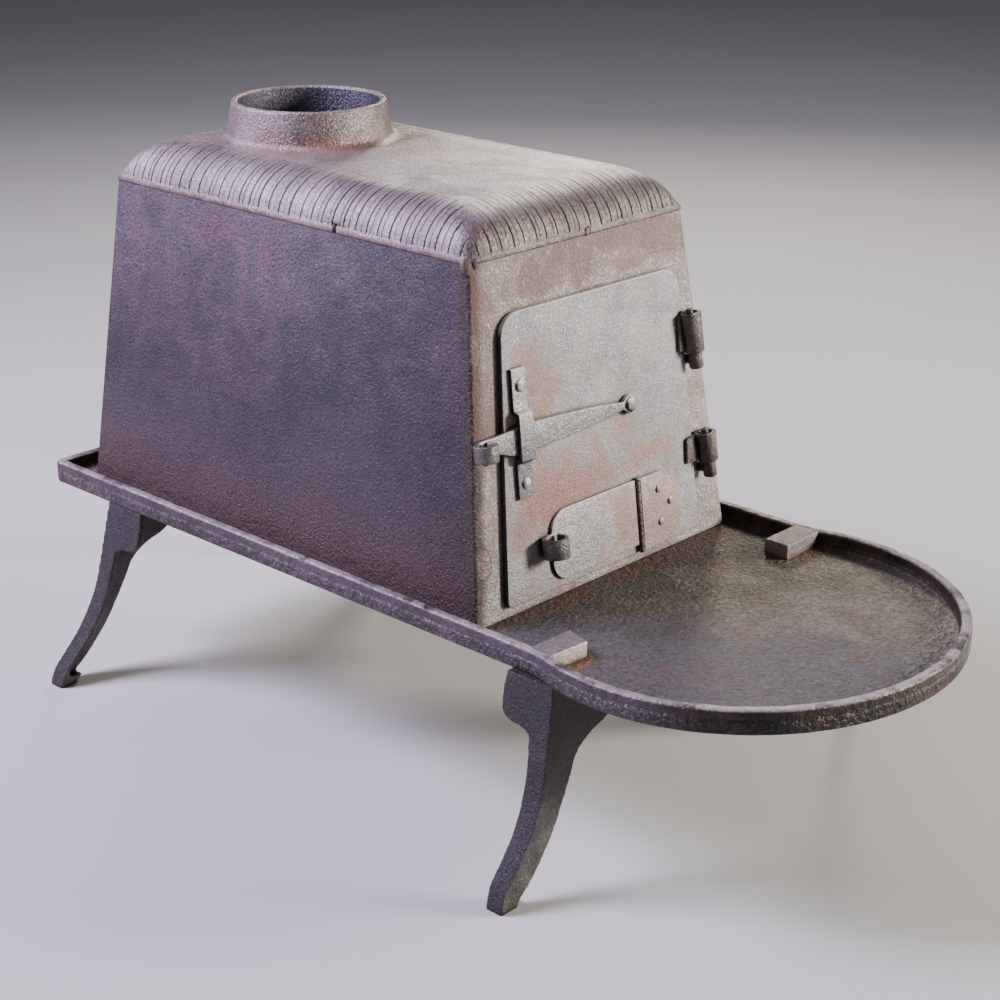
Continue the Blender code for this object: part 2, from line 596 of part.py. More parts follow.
for ob in (door, keeper, leaf, flap_pin):
    hang(ob, door_axis)
hang(arm, latch_axis)
hang(flap, flap_axis)
hang(latch_axis, door_axis)
hang(flap_axis, door_axis)
bpy.context.view_layer.update()
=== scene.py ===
"""Looks of the small cast-iron box stove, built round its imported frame."""
import math

import bmesh
import bpy
import numpy as np
from mathutils import Matrix, Vector, noise


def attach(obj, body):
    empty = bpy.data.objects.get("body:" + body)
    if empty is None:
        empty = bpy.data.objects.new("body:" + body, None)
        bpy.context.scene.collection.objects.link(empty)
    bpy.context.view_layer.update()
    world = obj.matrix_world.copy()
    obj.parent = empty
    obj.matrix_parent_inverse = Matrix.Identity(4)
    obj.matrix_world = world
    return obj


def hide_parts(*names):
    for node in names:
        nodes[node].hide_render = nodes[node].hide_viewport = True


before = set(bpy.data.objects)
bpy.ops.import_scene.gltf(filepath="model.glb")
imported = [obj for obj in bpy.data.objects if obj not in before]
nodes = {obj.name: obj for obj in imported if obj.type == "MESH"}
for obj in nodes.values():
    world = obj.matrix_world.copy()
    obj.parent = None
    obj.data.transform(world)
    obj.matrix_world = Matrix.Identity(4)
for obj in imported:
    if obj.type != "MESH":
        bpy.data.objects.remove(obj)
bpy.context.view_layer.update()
scene = bpy.context.scene

# ------------------------------------------------------------------ shared geometry
FY, PZ = -0.1122, 0.1830
BOX_H, HW0, HW1 = 0.2874, 0.1620, 0.1316
FTOP, RLEN, RTOP = 0.0374, 0.5043, 0.4799
TOPZ, SHOULDER = 0.3256, 0.0456
LEAN = math.atan2(FTOP, BOX_H)
GAP = 0.0003


def basis(x, y, z, origin=(0, 0, 0)):
    m = Matrix.Identity(4)
    for i, v in enumerate((x, y, z, origin)):
        for k in range(3):
            m[k][i] = v[k]
    return m


I4 = Matrix.Identity(4)
BODY = Matrix.Translation((0.0, FY, PZ))
S_AXIS = (0, math.sin(LEAN), math.cos(LEAN))
N_AXIS = (0, -math.cos(LEAN), math.sin(LEAN))
FACE = BODY @ basis((1, 0, 0), S_AXIS, N_AXIS)
PLAN = FACE @ basis((1, 0, 0), (0, 0, 1), (0, -1, 0))
HINGE_LEAN = math.atan2(0.0100, 0.1090)
HINGE = FACE @ basis((math.cos(HINGE_LEAN), math.sin(HINGE_LEAN), 0), (0, 0, -1),
                     (-math.sin(HINGE_LEAN), math.cos(HINGE_LEAN), 0), (0.1290, 0.0947, 0.0115))
UPRIGHT = basis((1, 0, 0), (0, 0, 1), (0, -1, 0))
SIDE = basis((0, 1, 0), (0, 0, 1), (1, 0, 0))


def link(name, mesh):
    ob = bpy.data.objects.new(name, mesh)
    scene.collection.objects.link(ob)
    return ob


def from_rows(name, rows, matrix, closed_u=True, cap_low=False, cap_high=False, ring=False):
    """Grid of vertex rows; ring=True joins the last row to the first."""
    n = len(rows[0])
    verts = [v for r in rows for v in r]
    faces = []
    pairs = [(i, i + 1) for i in range(len(rows) - 1)] + ([(len(rows) - 1, 0)] if ring else [])
    for a, b in pairs:
        for i in range(n if closed_u else n - 1):
            j = (i + 1) % n
            faces.append((a * n + i, a * n + j, b * n + j, b * n + i))
    if cap_low:
        faces.append(tuple(range(n - 1, -1, -1)))
    if cap_high:
        faces.append(tuple(range((len(rows) - 1) * n, len(rows) * n)))
    me = bpy.data.meshes.new(name)
    me.from_pydata(verts, [], faces)
    me.transform(matrix)
    me.update()
    me.shade_smooth()
    return link(name, me)


def fix_normals(ob):
    bm = bmesh.new()
    bm.from_mesh(ob.data)
    bmesh.ops.recalc_face_normals(bm, faces=bm.faces)
    bm.to_mesh(ob.data)
    bm.free()
    return ob


def prism(name, pts, z0, z1, matrix, bevel=0.0, seg=3, sharp=35):
    """Flat outline with a thickness and rounded edges."""
    bm = bmesh.new()
    low = [bm.verts.new((x, y, z0)) for x, y in pts]
    high = [bm.verts.new((x, y, z1)) for x, y in pts]
    n = len(pts)
    for i in range(n):
        j = (i + 1) % n
        bm.faces.new((low[i], low[j], high[j], high[i]))
    bm.faces.new(list(reversed(low)))
    bm.faces.new(high)
    bmesh.ops.recalc_face_normals(bm, faces=bm.faces)
    if bevel:
        edges = [e for e in bm.edges if e.calc_face_angle(0) > math.radians(40)]
        bmesh.ops.bevel(bm, geom=edges, offset=bevel, segments=seg, profile=0.5, affect='EDGES', clamp_overlap=True)
    me = bpy.data.meshes.new(name)
    bm.to_mesh(me)
    bm.free()
    me.transform(matrix)
    me.shade_smooth()
    me.set_sharp_from_angle(angle=math.radians(sharp))
    return link(name, me)


def lathe(name, profile, matrix, seg=48, a0=0.0, a1=360.0):
    """Closed profile of (r, z) points turned about z."""
    full = abs(a1 - a0 - 360) < 1e-6
    n = len(profile)
    verts, faces = [], []
    cols = seg if full else seg + 1
    for k in range(cols):
        a = math.radians(a0 + (a1 - a0) * k / seg)
        for r, z in profile:
            verts.append((r * math.cos(a), r * math.sin(a), z))
    for k in range(seg):
        q = (k + 1) % cols
        for i in range(n):
            j = (i + 1) % n
            faces.append((k * n + i, q * n + i, q * n + j, k * n + j))
    if not full:
        faces.append(tuple(range(n)))
        faces.append(tuple((cols - 1) * n + i for i in range(n - 1, -1, -1)))
    me = bpy.data.meshes.new(name)
    me.from_pydata(verts, [], faces)
    bm = bmesh.new()
    bm.from_mesh(me)
    bmesh.ops.remove_doubles(bm, verts=bm.verts, dist=1e-6)
    bmesh.ops.recalc_face_normals(bm, faces=bm.faces)
    bm.to_mesh(me)
    bm.free()
    me.transform(matrix)
    me.shade_smooth()
    me.set_sharp_from_angle(angle=math.radians(50))
    return link(name, me)


def boolean(ob, other, op):
    m = ob.modifiers.new(op, 'BOOLEAN')
    m.operation, m.solver, m.object = op, 'EXACT', other
    bake(ob)
    bpy.data.objects.remove(other, do_unlink=True)
    return ob


def bake(ob):
    """Apply what the object's modifiers make."""
    bpy.context.view_layer.update()
    dg = bpy.context.evaluated_depsgraph_get()
    me = bpy.data.meshes.new_from_object(ob.evaluated_get(dg))
    old = ob.data
    ob.modifiers.clear()
    ob.data = me
    if not old.users:
        bpy.data.meshes.remove(old)
    return ob


def cast(ob, voxel, smooth=4, amp=0.0, scale=120.0, sharp=None):
    """Soften a solid into a sand-cast one: remesh, relax, then a little unevenness."""
    m = ob.modifiers.new("remesh", 'REMESH')
    m.mode = 'VOXEL'
    m.voxel_size = voxel * 1.0
    m.use_smooth_shade = True
    m = ob.modifiers.new("relax", 'SMOOTH')
    m.iterations = smooth
    m.factor = 0.5
    bake(ob)
    if amp:
        roughen(ob, amp, scale)
    ob.data.shade_smooth()
    return ob


def roughen(ob, amp, scale, octaves=3, keep_z=None):
    me = ob.data
    n = len(me.vertices)
    co = np.empty(n * 3, np.float32)
    me.vertices.foreach_get("co", co)
    co = co.reshape(-1, 3)
    nr = np.empty(n * 3, np.float32)
    me.vertices.foreach_get("normal", nr)
    nr = nr.reshape(-1, 3)
    d = np.array([noise.fractal(Vector(p) * scale, 1.0, 2.0, octaves) for p in co.tolist()], np.float32)
    step = nr * (d * amp)[:, None]
    if keep_z is not None:
        step[co[:, 2] < keep_z] = 0
    me.vertices.foreach_set("co", (co + step).ravel())
    me.update()
    return ob


def arc(cx, cy, r, a0, a1, n):
    return [(cx + r * math.cos(math.radians(a0 + (a1 - a0) * i / n)),
             cy + r * math.sin(math.radians(a0 + (a1 - a0) * i / n))) for i in range(n + 1)]


def rounded(points, radii, n=8):
    out = []
    count = len(points)
    for i, (p, r) in enumerate(zip(points, radii)):
        a = (Vector(points[i - 1]) - Vector(p)).normalized()
        b = (Vector(points[(i + 1) % count]) - Vector(p)).normalized()
        if r <= 0:
            out.append(tuple(p))
            continue
        half = a.angle(b) / 2
        d = r / math.tan(half)
        centre = Vector(p) + (a + b).normalized() * (r / math.sin(half))
        s, e = Vector(p) + a * d - centre, Vector(p) + b * d - centre
        turn = math.atan2(s.x * e.y - s.y * e.x, s.dot(e))
        for k in range(n + 1):
            t = turn * k / n
            out.append((centre.x + s.x * math.cos(t) - s.y * math.sin(t),
                        centre.y + s.x * math.sin(t) + s.y * math.cos(t)))
    return out


def smooth_line(points, n=6):
    out = []
    last = len(points) - 1
    for i in range(last):
        p0, p1, p2, p3 = (Vector(points[max(i - 1, 0)]), Vector(points[i]),
                          Vector(points[i + 1]), Vector(points[min(i + 2, last)]))
        for k in range(n):
            t = k / n
            q = 0.5 * (2 * p1 + (p2 - p0) * t + (2 * p0 - 5 * p1 + 4 * p2 - p3) * t * t
                       + (3 * p1 - p0 - 3 * p2 + p3) * t ** 3)
            out.append((q.x, q.y))
    out.append(tuple(points[-1]))
    return out


def show(ob, body, node=None, mat=None):
    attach(ob, body)
    if node:
        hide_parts(*([node] if isinstance(node, str) else node))
    if mat:
        ob.data.materials.clear()
        ob.data.materials.append(mat)
    return ob


# ------------------------------------------------------------------ camera
def rot(yaw, pitch, roll):
    y, p, r = (math.radians(a) for a in (yaw, pitch, roll))
    f = Vector((math.sin(y) * math.cos(p), math.cos(y) * math.cos(p), -math.sin(p)))
    right = Vector((math.cos(y), -math.sin(y), 0))
    up = right.cross(f)
    return math.cos(r) * right + math.sin(r) * up, -math.sin(r) * right + math.cos(r) * up, f


R, U, F = rot(46.910, 21.258, 0.1704)
cam_data = bpy.data.cameras.new("view")
cam_data.sensor_width = 36.0
cam_data.sensor_fit = 'HORIZONTAL'
cam_data.lens = 36.0 * 2067.34 / 1000.0
cam_data.clip_start = 0.05
cam = bpy.data.objects.new("view", cam_data)
scene.collection.objects.link(cam)
cam.matrix_world = basis(R, U, -F, (-1.24696, -1.15215, 0.88065))
scene.camera = cam


# ------------------------------------------------------------------ materials
class Shade:
    """Small helper that strings shader nodes together."""

    def __init__(self, name):
        self.mat = bpy.data.materials.new(name)
        self.mat.use_nodes = True
        self.t = self.mat.node_tree
        self.b = self.t.nodes["Principled BSDF"]
        tex = self.t.nodes.new("ShaderNodeTexCoord")
        self.p = tex.outputs["Object"]
        sep = self.new("ShaderNodeSeparateXYZ", self.p)
        self.x, self.y, self.z = sep.outputs[0], sep.outputs[1], sep.outputs[2]
        off = self.new("ShaderNodeVectorMath", self.p, (0.0, -FY, -PZ))
        dot = self.new("ShaderNodeVectorMath", off.outputs[0], S_AXIS)
        dot.operation = 'DOT_PRODUCT'
        self.s = dot.outputs["Value"]
        sep = self.new("ShaderNodeSeparateXYZ", tex.outputs["Normal"])
        self.nx, self.ny, self.nz = sep.outputs[0], sep.outputs[1], sep.outputs[2]
        dot = self.new("ShaderNodeVectorMath", tex.outputs["Normal"], S_AXIS)
        dot.operation = 'DOT_PRODUCT'
        self.ns = dot.outputs["Value"]

    def new(self, kind, *inputs, **props):
        n = self.t.nodes.new(kind)
        for k, v in props.items():
            setattr(n, k, v)
        for i, v in enumerate(inputs):
            self.put(n.inputs[i], v)
        return n

    def put(self, sock, v):
        if isinstance(v, bpy.types.NodeSocket):
            self.t.links.new(v, sock)
        elif v is not None:
            if sock.type == 'RGBA' and len(v) == 3:
                v = (*v, 1.0)
            sock.default_value = v

    def math(self, op, a, b=None, c=None, clamp=False):
        n = self.new("ShaderNodeMath", a, b, c, operation=op)
        n.use_clamp = clamp
        return n.outputs[0]

    def add(self, a, b): return self.math('ADD', a, b)
    def sub(self, a, b): return self.math('SUBTRACT', a, b)
    def mul(self, a, b): return self.math('MULTIPLY', a, b)
    def mad(self, a, b, c): return self.math('MULTIPLY_ADD', a, b, c)

    def soft(self, v, a, b):
        """0 below a, 1 above b, smooth between; a > b turns it round."""
        n = self.new("ShaderNodeMapRange", interpolation_type='SMOOTHSTEP')
        flip = a > b
        self.put(n.inputs["Value"], v)
        n.inputs["From Min"].default_value = min(a, b)
        n.inputs["From Max"].default_value = max(a, b)
        n.inputs["To Min"].default_value = 1.0 if flip else 0.0
        n.inputs["To Max"].default_value = 0.0 if flip else 1.0
        return n.outputs[0]

    def band(self, v, a, b, w):
        return self.mul(self.soft(v, a - w, a), self.soft(v, b + w, b))

    def blob(self, u, v, u0, v0, ru, rv, edge=0.5):
        a = self.mul(self.sub(u, u0), 1.0 / ru)
        b = self.mul(self.sub(v, v0), 1.0 / rv)
        d = self.math('SQRT', self.add(self.mul(a, a), self.mul(b, b)))
        return self.soft(d, 1.0 + edge, 1.0 - edge)

    def noise(self, scale, detail=5.0, rough=0.6, dist=0.0, vec=None, stretch=None, shift=None):
        v = vec or self.p
        if stretch or shift:
            m = self.new("ShaderNodeMapping", v)
            if stretch:
                m.inputs["Scale"].default_value = stretch
            if shift:
                m.inputs["Location"].default_value = shift
            v = m.outputs[0]
        n = self.new("ShaderNodeTexNoise", v)
        n.inputs["Scale"].default_value = scale
        n.inputs["Detail"].default_value = detail
        n.inputs["Roughness"].default_value = rough
        n.inputs["Distortion"].default_value = dist
        return n.outputs["Fac"]

    def mix(self, fac, a, b, mode='MIX'):
        n = self.t.nodes.new("ShaderNodeMix")
        n.data_type = 'RGBA'
        n.blend_type = mode
        n.clamp_factor = True
        self.put(n.inputs[0], fac)
        self.put(n.inputs[6], a)
        self.put(n.inputs[7], b)
        return n.outputs[2]

    def gain(self, colour, k):
        """Colour times a number."""
        n = self.new("ShaderNodeVectorMath", colour, operation='SCALE')
        self.put(n.inputs["Scale"], k)
        return n.outputs[0]

    def ao(self, dist, samples=6):
        n = self.t.nodes.new("ShaderNodeAmbientOcclusion")
        n.samples = samples
        n.inputs["Distance"].default_value = dist
        return n.outputs["AO"]

    def edges(self, radius, samples=4):
        """1 on sharp outer edges, 0 on flats."""
        bev = self.t.nodes.new("ShaderNodeBevel")
        bev.samples = samples
        bev.inputs["Radius"].default_value = radius
        geo = self.t.nodes.new("ShaderNodeNewGeometry")
        d = self.new("ShaderNodeVectorMath", bev.outputs[0], geo.outputs["Normal"], operation='DOT_PRODUCT')
        return self.soft(d.outputs["Value"], 0.97, 0.80)

    def bump(self, height, strength, distance, under=None):
        n = self.t.nodes.new("ShaderNodeBump")
        n.inputs["Strength"].default_value = strength
        n.inputs["Distance"].default_value = distance
        self.put(n.inputs["Height"], height)
        if under:
            self.t.links.new(under, n.inputs["Normal"])
        return n.outputs[0]

    def finish(self, colour, rough, normal, metal=0.3, spec=0.5):
        self.put(self.b.inputs["Base Color"], colour)
        self.put(self.b.inputs["Roughness"], rough)
        self.b.inputs["Metallic"].default_value = metal
        self.b.inputs["Specular IOR Level"].default_value = spec
        if normal:
            self.t.links.new(normal, self.b.inputs["Normal"])
        return self.mat


def iron(name, dark, light, rusts=((0.20, 0.075, 0.055), (0.13, 0.045, 0.035)), rust=0.50, rust_gain=0.8,
         worn=(0.42, 0.38, 0.36), wear=0.7, ao_shade_and_dirt=(0.018, 0.010, 0.008), ao_shade_and_dirt_gain=0.85, ao=0.010,
         pebble=0.55, metal=0.30, rough=(0.42, 0.66), regions=None, seed=0.0, edge_r=0.0022, grain=1.0, grit_scale=420.0, bump_d=0.00095, cavity=0.34, rust_w=0.13, top_highlight=0.0):
    """Old cast iron: mottled ground, rust blooms, worn edges, painted shade and dirt in the corners, pebbled skin."""
    m = Shade(name)
    m.seed, m.relief = seed, None
    big = m.noise(7.0, 5, 0.62, 0.6, shift=(seed, seed * 0.7, 0))
    mid = m.noise(34.0, 7, 0.68, 0.3, shift=(0, seed, seed))
    fine = m.noise(420.0, 3, 0.6)
    patch = m.noise(15.0, 8, 0.70, 1.2, shift=(seed + 3.1, 1.7, seed))
    ground = m.mix(m.soft(m.mad(big, 0.55, m.mul(mid, 0.45)), 0.36, 0.64), dark, light)
    rust_field = m.mad(patch, 0.62, m.mul(mid, 0.38))
    extra = 0.0
    if regions:
        ground, extra = regions(m, ground, big, mid, patch)
        rust_field = m.add(rust_field, extra)
    mask = m.mul(m.mul(m.soft(rust_field, rust, rust + rust_w), m.mad(m.soft(fine, 0.35, 0.65), 0.30, 0.85)), rust_gain)
    colour = m.mix(mask, ground, m.mix(m.soft(fine, 0.35, 0.65), rusts[0], rusts[1]))
    colour = m.gain(colour, m.mad(m.soft(fine, 0.30, 0.70), 0.34 * grain, 1.0 - 0.17 * grain))
    colour = m.gain(colour, m.mad(mid, 0.36, 0.82))
    grit = m.soft(m.noise(grit_scale, 3, 0.66, 0.5), 0.31, 0.69)
    # painted shade and light on the pebbled skin: the colour is darker in the hollows and lighter on the bumps of the
    # bump noise
    pits = m.mul(m.sub(grit, 0.42), cavity)
    colour = m.gain(colour, m.add(m.mul(pits, m.relief) if m.relief else pits, 1.0))
    if wear:
        edge = m.mul(m.edges(edge_r), m.soft(m.noise(90.0, 4, 0.6), 0.32, 0.62))
        colour = m.mix(m.mul(edge, wear), colour, worn)
    # painted shade and dirt: an ambient-occlusion mask pulls corners and crevices towards a dark colour
    if ao_shade_and_dirt_gain:
        colour = m.mix(m.mul(m.soft(m.ao(ao), 0.92, 0.35), ao_shade_and_dirt_gain), colour, ao_shade_and_dirt)
    # painted highlight: faces turned upwards along the front are lightened in patches, as lit from above
    if top_highlight:
        top = m.mul(m.soft(m.ns, 0.20, 0.55), m.soft(m.noise(70.0, 4, 0.6), 0.22, 0.42))
        colour = m.mix(m.mul(top, top_highlight), colour, (0.82, 0.78, 0.74))
    height = m.add(m.mul(grit, 0.72), m.add(m.mul(m.noise(900.0, 1, 0.5), 0.16), m.mul(m.noise(60.0, 3, 0.6), 1.1)))
    normal = m.bump(m.mul(height, m.relief) if m.relief else height, pebble, bump_d)
    r = m.mad(m.soft(m.mad(mid, 0.5, m.mul(mask, 0.5)), 0.2, 0.75), rough[1] - rough[0], rough[0])
    return m.finish(colour, r, normal, metal)


# firebox: pale grey front, slate and plum sides
def body_regions(m, ground, big, mid, patch):
    geo = m.t.nodes.new("ShaderNodeNewGeometry")
    nrm = m.new("ShaderNodeSeparateXYZ", geo.outputs["Normal"])
    side = m.soft(m.math('ABSOLUTE', nrm.outputs[0]), 0.30, 0.85)
    back = m.soft(nrm.outputs[1], 0.2, 0.6)
    flank = m.math('MAXIMUM', side, back)
    zz = m.sub(m.z, PZ)
    slate = m.mix(m.soft(m.mad(big, 0.7, m.mul(mid, 0.3)), 0.40, 0.60), (0.044, 0.035, 0.050), (0.078, 0.061, 0.078))
    fibre = m.noise(16.0, 9, 0.74, 1.6, shift=(5, 2, 1), stretch=(1.0, 1.0, 0.75))
    field = m.noise(4.5, 3, 0.5, 0.4, shift=(1, 7, 3))
    vein = m.mul(m.soft(m.mad(fibre, 0.6, m.mul(field, 0.4)), 0.47, 0.62), 0.62)
    slate = m.mix(vein, slate, (0.128, 0.072, 0.080))
    scuff = m.soft(m.noise(30.0, 8, 0.74, 0.8, stretch=(1.0, 0.45, 1.5)), 0.54, 0.72)
    slate = m.mix(m.mul(scuff, 0.42), slate, (0.140, 0.122, 0.142))
    foot = m.soft(m.add(zz, m.mul(m.sub(fibre, 0.5), 0.30)), 0.105, 0.0)
    slate = m.mix(m.mul(foot, 0.75), slate, (0.128, 0.066, 0.062))
    edge_y = m.soft(m.add(m.y, m.mul(m.sub(fibre, 0.5), 0.10)), -0.035, -0.105)
    slate = m.mix(m.mul(edge_y, 0.45), slate, (0.092, 0.044, 0.052))
    # painted light and shade on the sides: lighter towards the top and the back, darker towards the bottom and the
    # front
    slate = m.gain(slate, m.mad(m.soft(zz, 0.12, 0.29), 0.58, 0.60))
    slate = m.gain(slate, m.mad(m.soft(m.y, FY + 0.02, FY + 0.16), 0.22, 0.80))
    col = m.mix(flank, ground, slate)
    # painted shade: a dark brown band along the front-left corner of the firebox, on the front and on the side
    t = m.mul(zz, 1.0 / BOX_H)
    inset = m.add(m.x, m.mad(t, HW1 - HW0, HW0))
    depth = m.sub(m.sub(m.y, FY), m.mul(t, FTOP))
    off = m.add(m.add(inset, depth), m.mul(m.sub(mid, 0.5), 0.006))
    col = m.mix(m.mul(m.soft(off, 0.0165, 0.0050), 0.90), col, (0.040, 0.025, 0.020))
    for x0, s0, rx, rs in ((-0.1340, 0.2234, 0.0058, 0.0140), (-0.1470, 0.0517, 0.0086, 0.0130)):
        a, b = m.mul(m.sub(m.x, x0), 1.0 / rx), m.mul(m.sub(m.s, s0), 1.0 / rs)
        d = m.math('SQRT', m.add(m.mul(a, a), m.mul(b, b)))
        front = m.soft(m.ny, -0.5, -0.8)
        col = m.mix(m.mul(m.mul(m.soft(d, 1.0, 0.9), front), 0.45), col, (0.240, 0.165, 0.145))
        col = m.mix(m.mul(m.mul(m.band(d, 0.96, 1.04, 0.10), front), 0.60), col, (0.085, 0.055, 0.046))
    front_rust = m.add(m.mul(m.blob(m.x, m.s, -0.125, 0.19, 0.030, 0.06), 0.12), m.mul(m.band(m.s, 0.262, 0.30, 0.02), 0.12))
    extra = m.sub(front_rust, m.mul(flank, 0.30))
    return col, extra


BODY_MAT = iron("body_iron", (0.285, 0.235, 0.220), (0.410, 0.360, 0.340), rusts=((0.225, 0.115, 0.095), (0.120, 0.052, 0.050)),
                rust=0.515, rust_gain=0.62, worn=(0.40, 0.36, 0.35), wear=0.35, ao=0.005, ao_shade_and_dirt_gain=0.8,
                regions=body_regions, seed=1.3, rough=(0.44, 0.66), pebble=1.0, cavity=0.42)


def left_side_shade(m, ground, extra):
    """Painted shade on the left-facing sides of a plate on the front."""
    left = m.soft(m.nx, -0.40, -0.75)
    ground = m.mix(m.mul(left, 0.92), ground, (0.016, 0.011, 0.009))
    return ground, m.sub(extra, m.mul(left, 0.5))


def door_regions(m, ground, big, mid, patch):
    e = m.mul(m.blob(m.x, m.s, -0.082, 0.166, 0.030, 0.046), 0.130)
    e = m.add(e, m.mul(m.blob(m.x, m.s, -0.055, 0.074, 0.080, 0.034), 0.150))
    e = m.add(e, m.mul(m.blob(m.x, m.s, -0.010, 0.108, 0.095, 0.022), 0.085))
    e = m.add(e, m.mul(m.blob(m.x, m.s, 0.060, 0.078, 0.045, 0.022), 0.090))
    e = m.add(e, m.mul(m.blob(m.x, m.s, -0.080, 0.030, 0.026, 0.018), 0.090))
    ground = m.mix(m.mul(m.mul(m.blob(m.x, m.s, -0.062, 0.078, 0.040, 0.014), m.soft(mid, 0.38, 0.56)), 0.75), ground, (0.170, 0.098, 0.078))
    e = m.add(e, m.mul(m.band(m.s, -0.01, 0.014, 0.012), 0.06))
    e = m.add(e, m.mul(m.blob(m.x, m.s, 0.034, 0.142, 0.016, 0.020), 0.06))
    # painted shade: a near-black strip on the door between the flap and the leaf, where the raised leaf shades the gap
    slot = m.mul(m.band(m.x, 0.0342, 0.0404, 0.0008), m.band(m.s, 0.0130, 0.0735, 0.0015))
    ground, e = left_side_shade(m, ground, e)
    return m.mix(slot, ground, (0.010, 0.007, 0.006)), m.sub(e, m.mul(slot, 0.5))


DOOR_MAT = iron("door_iron", (0.258, 0.252, 0.260), (0.378, 0.370, 0.374), rusts=((0.400, 0.245, 0.212), (0.255, 0.138, 0.115)),
                rust=0.490, rust_gain=0.86, rust_w=0.20, top_highlight=0.85, worn=(0.72, 0.69, 0.66), wear=0.9, ao=0.006, ao_shade_and_dirt_gain=0.92,
                regions=door_regions, seed=4.2, rough=(0.44, 0.64), edge_r=0.0014, pebble=0.70, grit_scale=500.0)
def fit_regions(m, ground, big, mid, patch):
    # painted shade on the downward-facing undersides of the fittings
    under = m.soft(m.ns, -0.25, -0.65)
    ground, e = left_side_shade(m, ground, 0.0)
    return m.mix(m.mul(under, 0.85), ground, (0.022, 0.016, 0.014)), m.sub(e, under)


FIT_MAT = iron("fitting_iron", (0.190, 0.184, 0.188), (0.305, 0.297, 0.298), rusts=((0.270, 0.150, 0.120), (0.150, 0.070, 0.055)),
               rust=0.55, rust_gain=0.6, worn=(0.50, 0.47, 0.45), wear=0.8, ao=0.005, ao_shade_and_dirt_gain=0.9, seed=7.7,
               metal=0.45, rough=(0.36, 0.58), edge_r=0.0010, pebble=0.6, regions=fit_regions, cavity=0.24, top_highlight=0.6)
def flap_regions(m, ground, big, mid, patch):
    cool = m.mul(m.blob(m.x, m.s, -0.032, 0.046, 0.036, 0.030), m.soft(m.x, 0.034, 0.030))
    ground = m.mix(m.mul(cool, 0.55), ground, (0.300, 0.305, 0.320))
    pink = m.add(m.mul(m.blob(m.x, m.s, 0.020, 0.045, 0.014, 0.030), 0.10), m.mul(m.blob(m.x, m.s, -0.072, 0.050, 0.014, 0.030), 0.10))
    pink = m.add(pink, m.mul(m.blob(m.x, m.s, 0.068, 0.045, 0.030, 0.034), 0.07))
    return left_side_shade(m, ground, m.sub(pink, m.mul(cool, 0.06)))


FLAP_MAT = iron("flap_iron", (0.310, 0.270, 0.258), (0.430, 0.390, 0.380), rusts=((0.370, 0.215, 0.180), (0.250, 0.120, 0.100)),
                rust=0.49, rust_gain=0.62, worn=(0.66, 0.63, 0.60), wear=0.9, ao=0.004, ao_shade_and_dirt_gain=0.92, seed=9.1, regions=flap_regions, top_highlight=0.85,
                rough=(0.44, 0.62), edge_r=0.0010, pebble=0.5)
KNOCK_MAT = iron("knock_iron", (0.060, 0.038, 0.031), (0.150, 0.102, 0.084), rust=0.5, rust_gain=0.4, worn=(0.26, 0.20, 0.17), wear=0.5,
                 seed=6.1, metal=0.2, rough=(0.5, 0.7), pebble=0.6)
# near-black iron used as painted shade: the dark inside of a pit and the shadow beside the bead lump
HOLE_MAT = iron("hole_iron", (0.016, 0.010, 0.009), (0.030, 0.020, 0.017), rust=0.6, rust_gain=0.3, worn=(0.05, 0.04, 0.03), wear=0.2,
                seed=2.2, metal=0.1, rough=(0.6, 0.8), pebble=0.4)
CURL_MAT = iron("curl_iron", (0.095, 0.085, 0.082), (0.190, 0.175, 0.170), rusts=((0.160, 0.085, 0.065), (0.090, 0.045, 0.035)),
                rust=0.56, rust_gain=0.6, worn=(0.55, 0.52, 0.50), wear=0.9, ao=0.005, ao_shade_and_dirt_gain=0.92, seed=8.3,
                metal=0.5, rough=(0.34, 0.55), edge_r=0.0009, pebble=0.5)
def block_regions(m, ground, big, mid, patch):
    # painted light: the front face of the left block is turned pale cream as if lit; the right-hand block is made
    # lighter
    ahead = m.mul(m.mul(m.soft(m.ny, -0.35, -0.75), m.soft(m.x, 0.0, -0.02)), m.soft(mid, 0.36, 0.48))
    ground = m.gain(ground, m.mad(m.soft(m.x, -0.02, 0.02), 0.75, 1.0))
    return m.mix(m.mul(ahead, 0.85), ground, (0.520, 0.465, 0.410)), m.mul(ahead, -0.3)


BLOCK_MAT = iron("block_iron", (0.098, 0.080, 0.082), (0.190, 0.165, 0.165), rusts=((0.180, 0.095, 0.062), (0.100, 0.050, 0.035)),
                 rust=0.56, rust_gain=0.6, worn=(0.50, 0.46, 0.43), wear=0.9, ao=0.006, ao_shade_and_dirt=(0.120, 0.050, 0.022), ao_shade_and_dirt_gain=0.9, seed=1.9, regions=block_regions,
                 rough=(0.40, 0.60), edge_r=0.0016, pebble=0.6)


def leg_regions(m, ground, big, mid, patch):
    # painted shadow and light on the leg fronts: near black under the pan, paler stone near the ground where the light
    # reaches
    ahead = m.soft(m.ny, -0.35, -0.75)
    low = m.soft(m.z, 0.150, 0.050)
    pan_shadow = m.mix(m.soft(mid, 0.38, 0.62), (0.010, 0.007, 0.006), (0.022, 0.014, 0.011))
    stone = m.mix(m.soft(mid, 0.38, 0.62), (0.060, 0.053, 0.045), (0.125, 0.112, 0.098))
    ground = m.mix(m.mul(ahead, 0.9), ground, m.mix(low, pan_shadow, stone))
    # painted shade: the top ledge of the leg just under the pan is made near black
    ledge = m.mul(m.soft(m.nz, 0.35, 0.75), m.soft(m.z, PZ - 0.016, PZ - 0.011))
    return m.mix(ledge, ground, (0.004, 0.003, 0.003)), m.mul(ledge, -0.5)


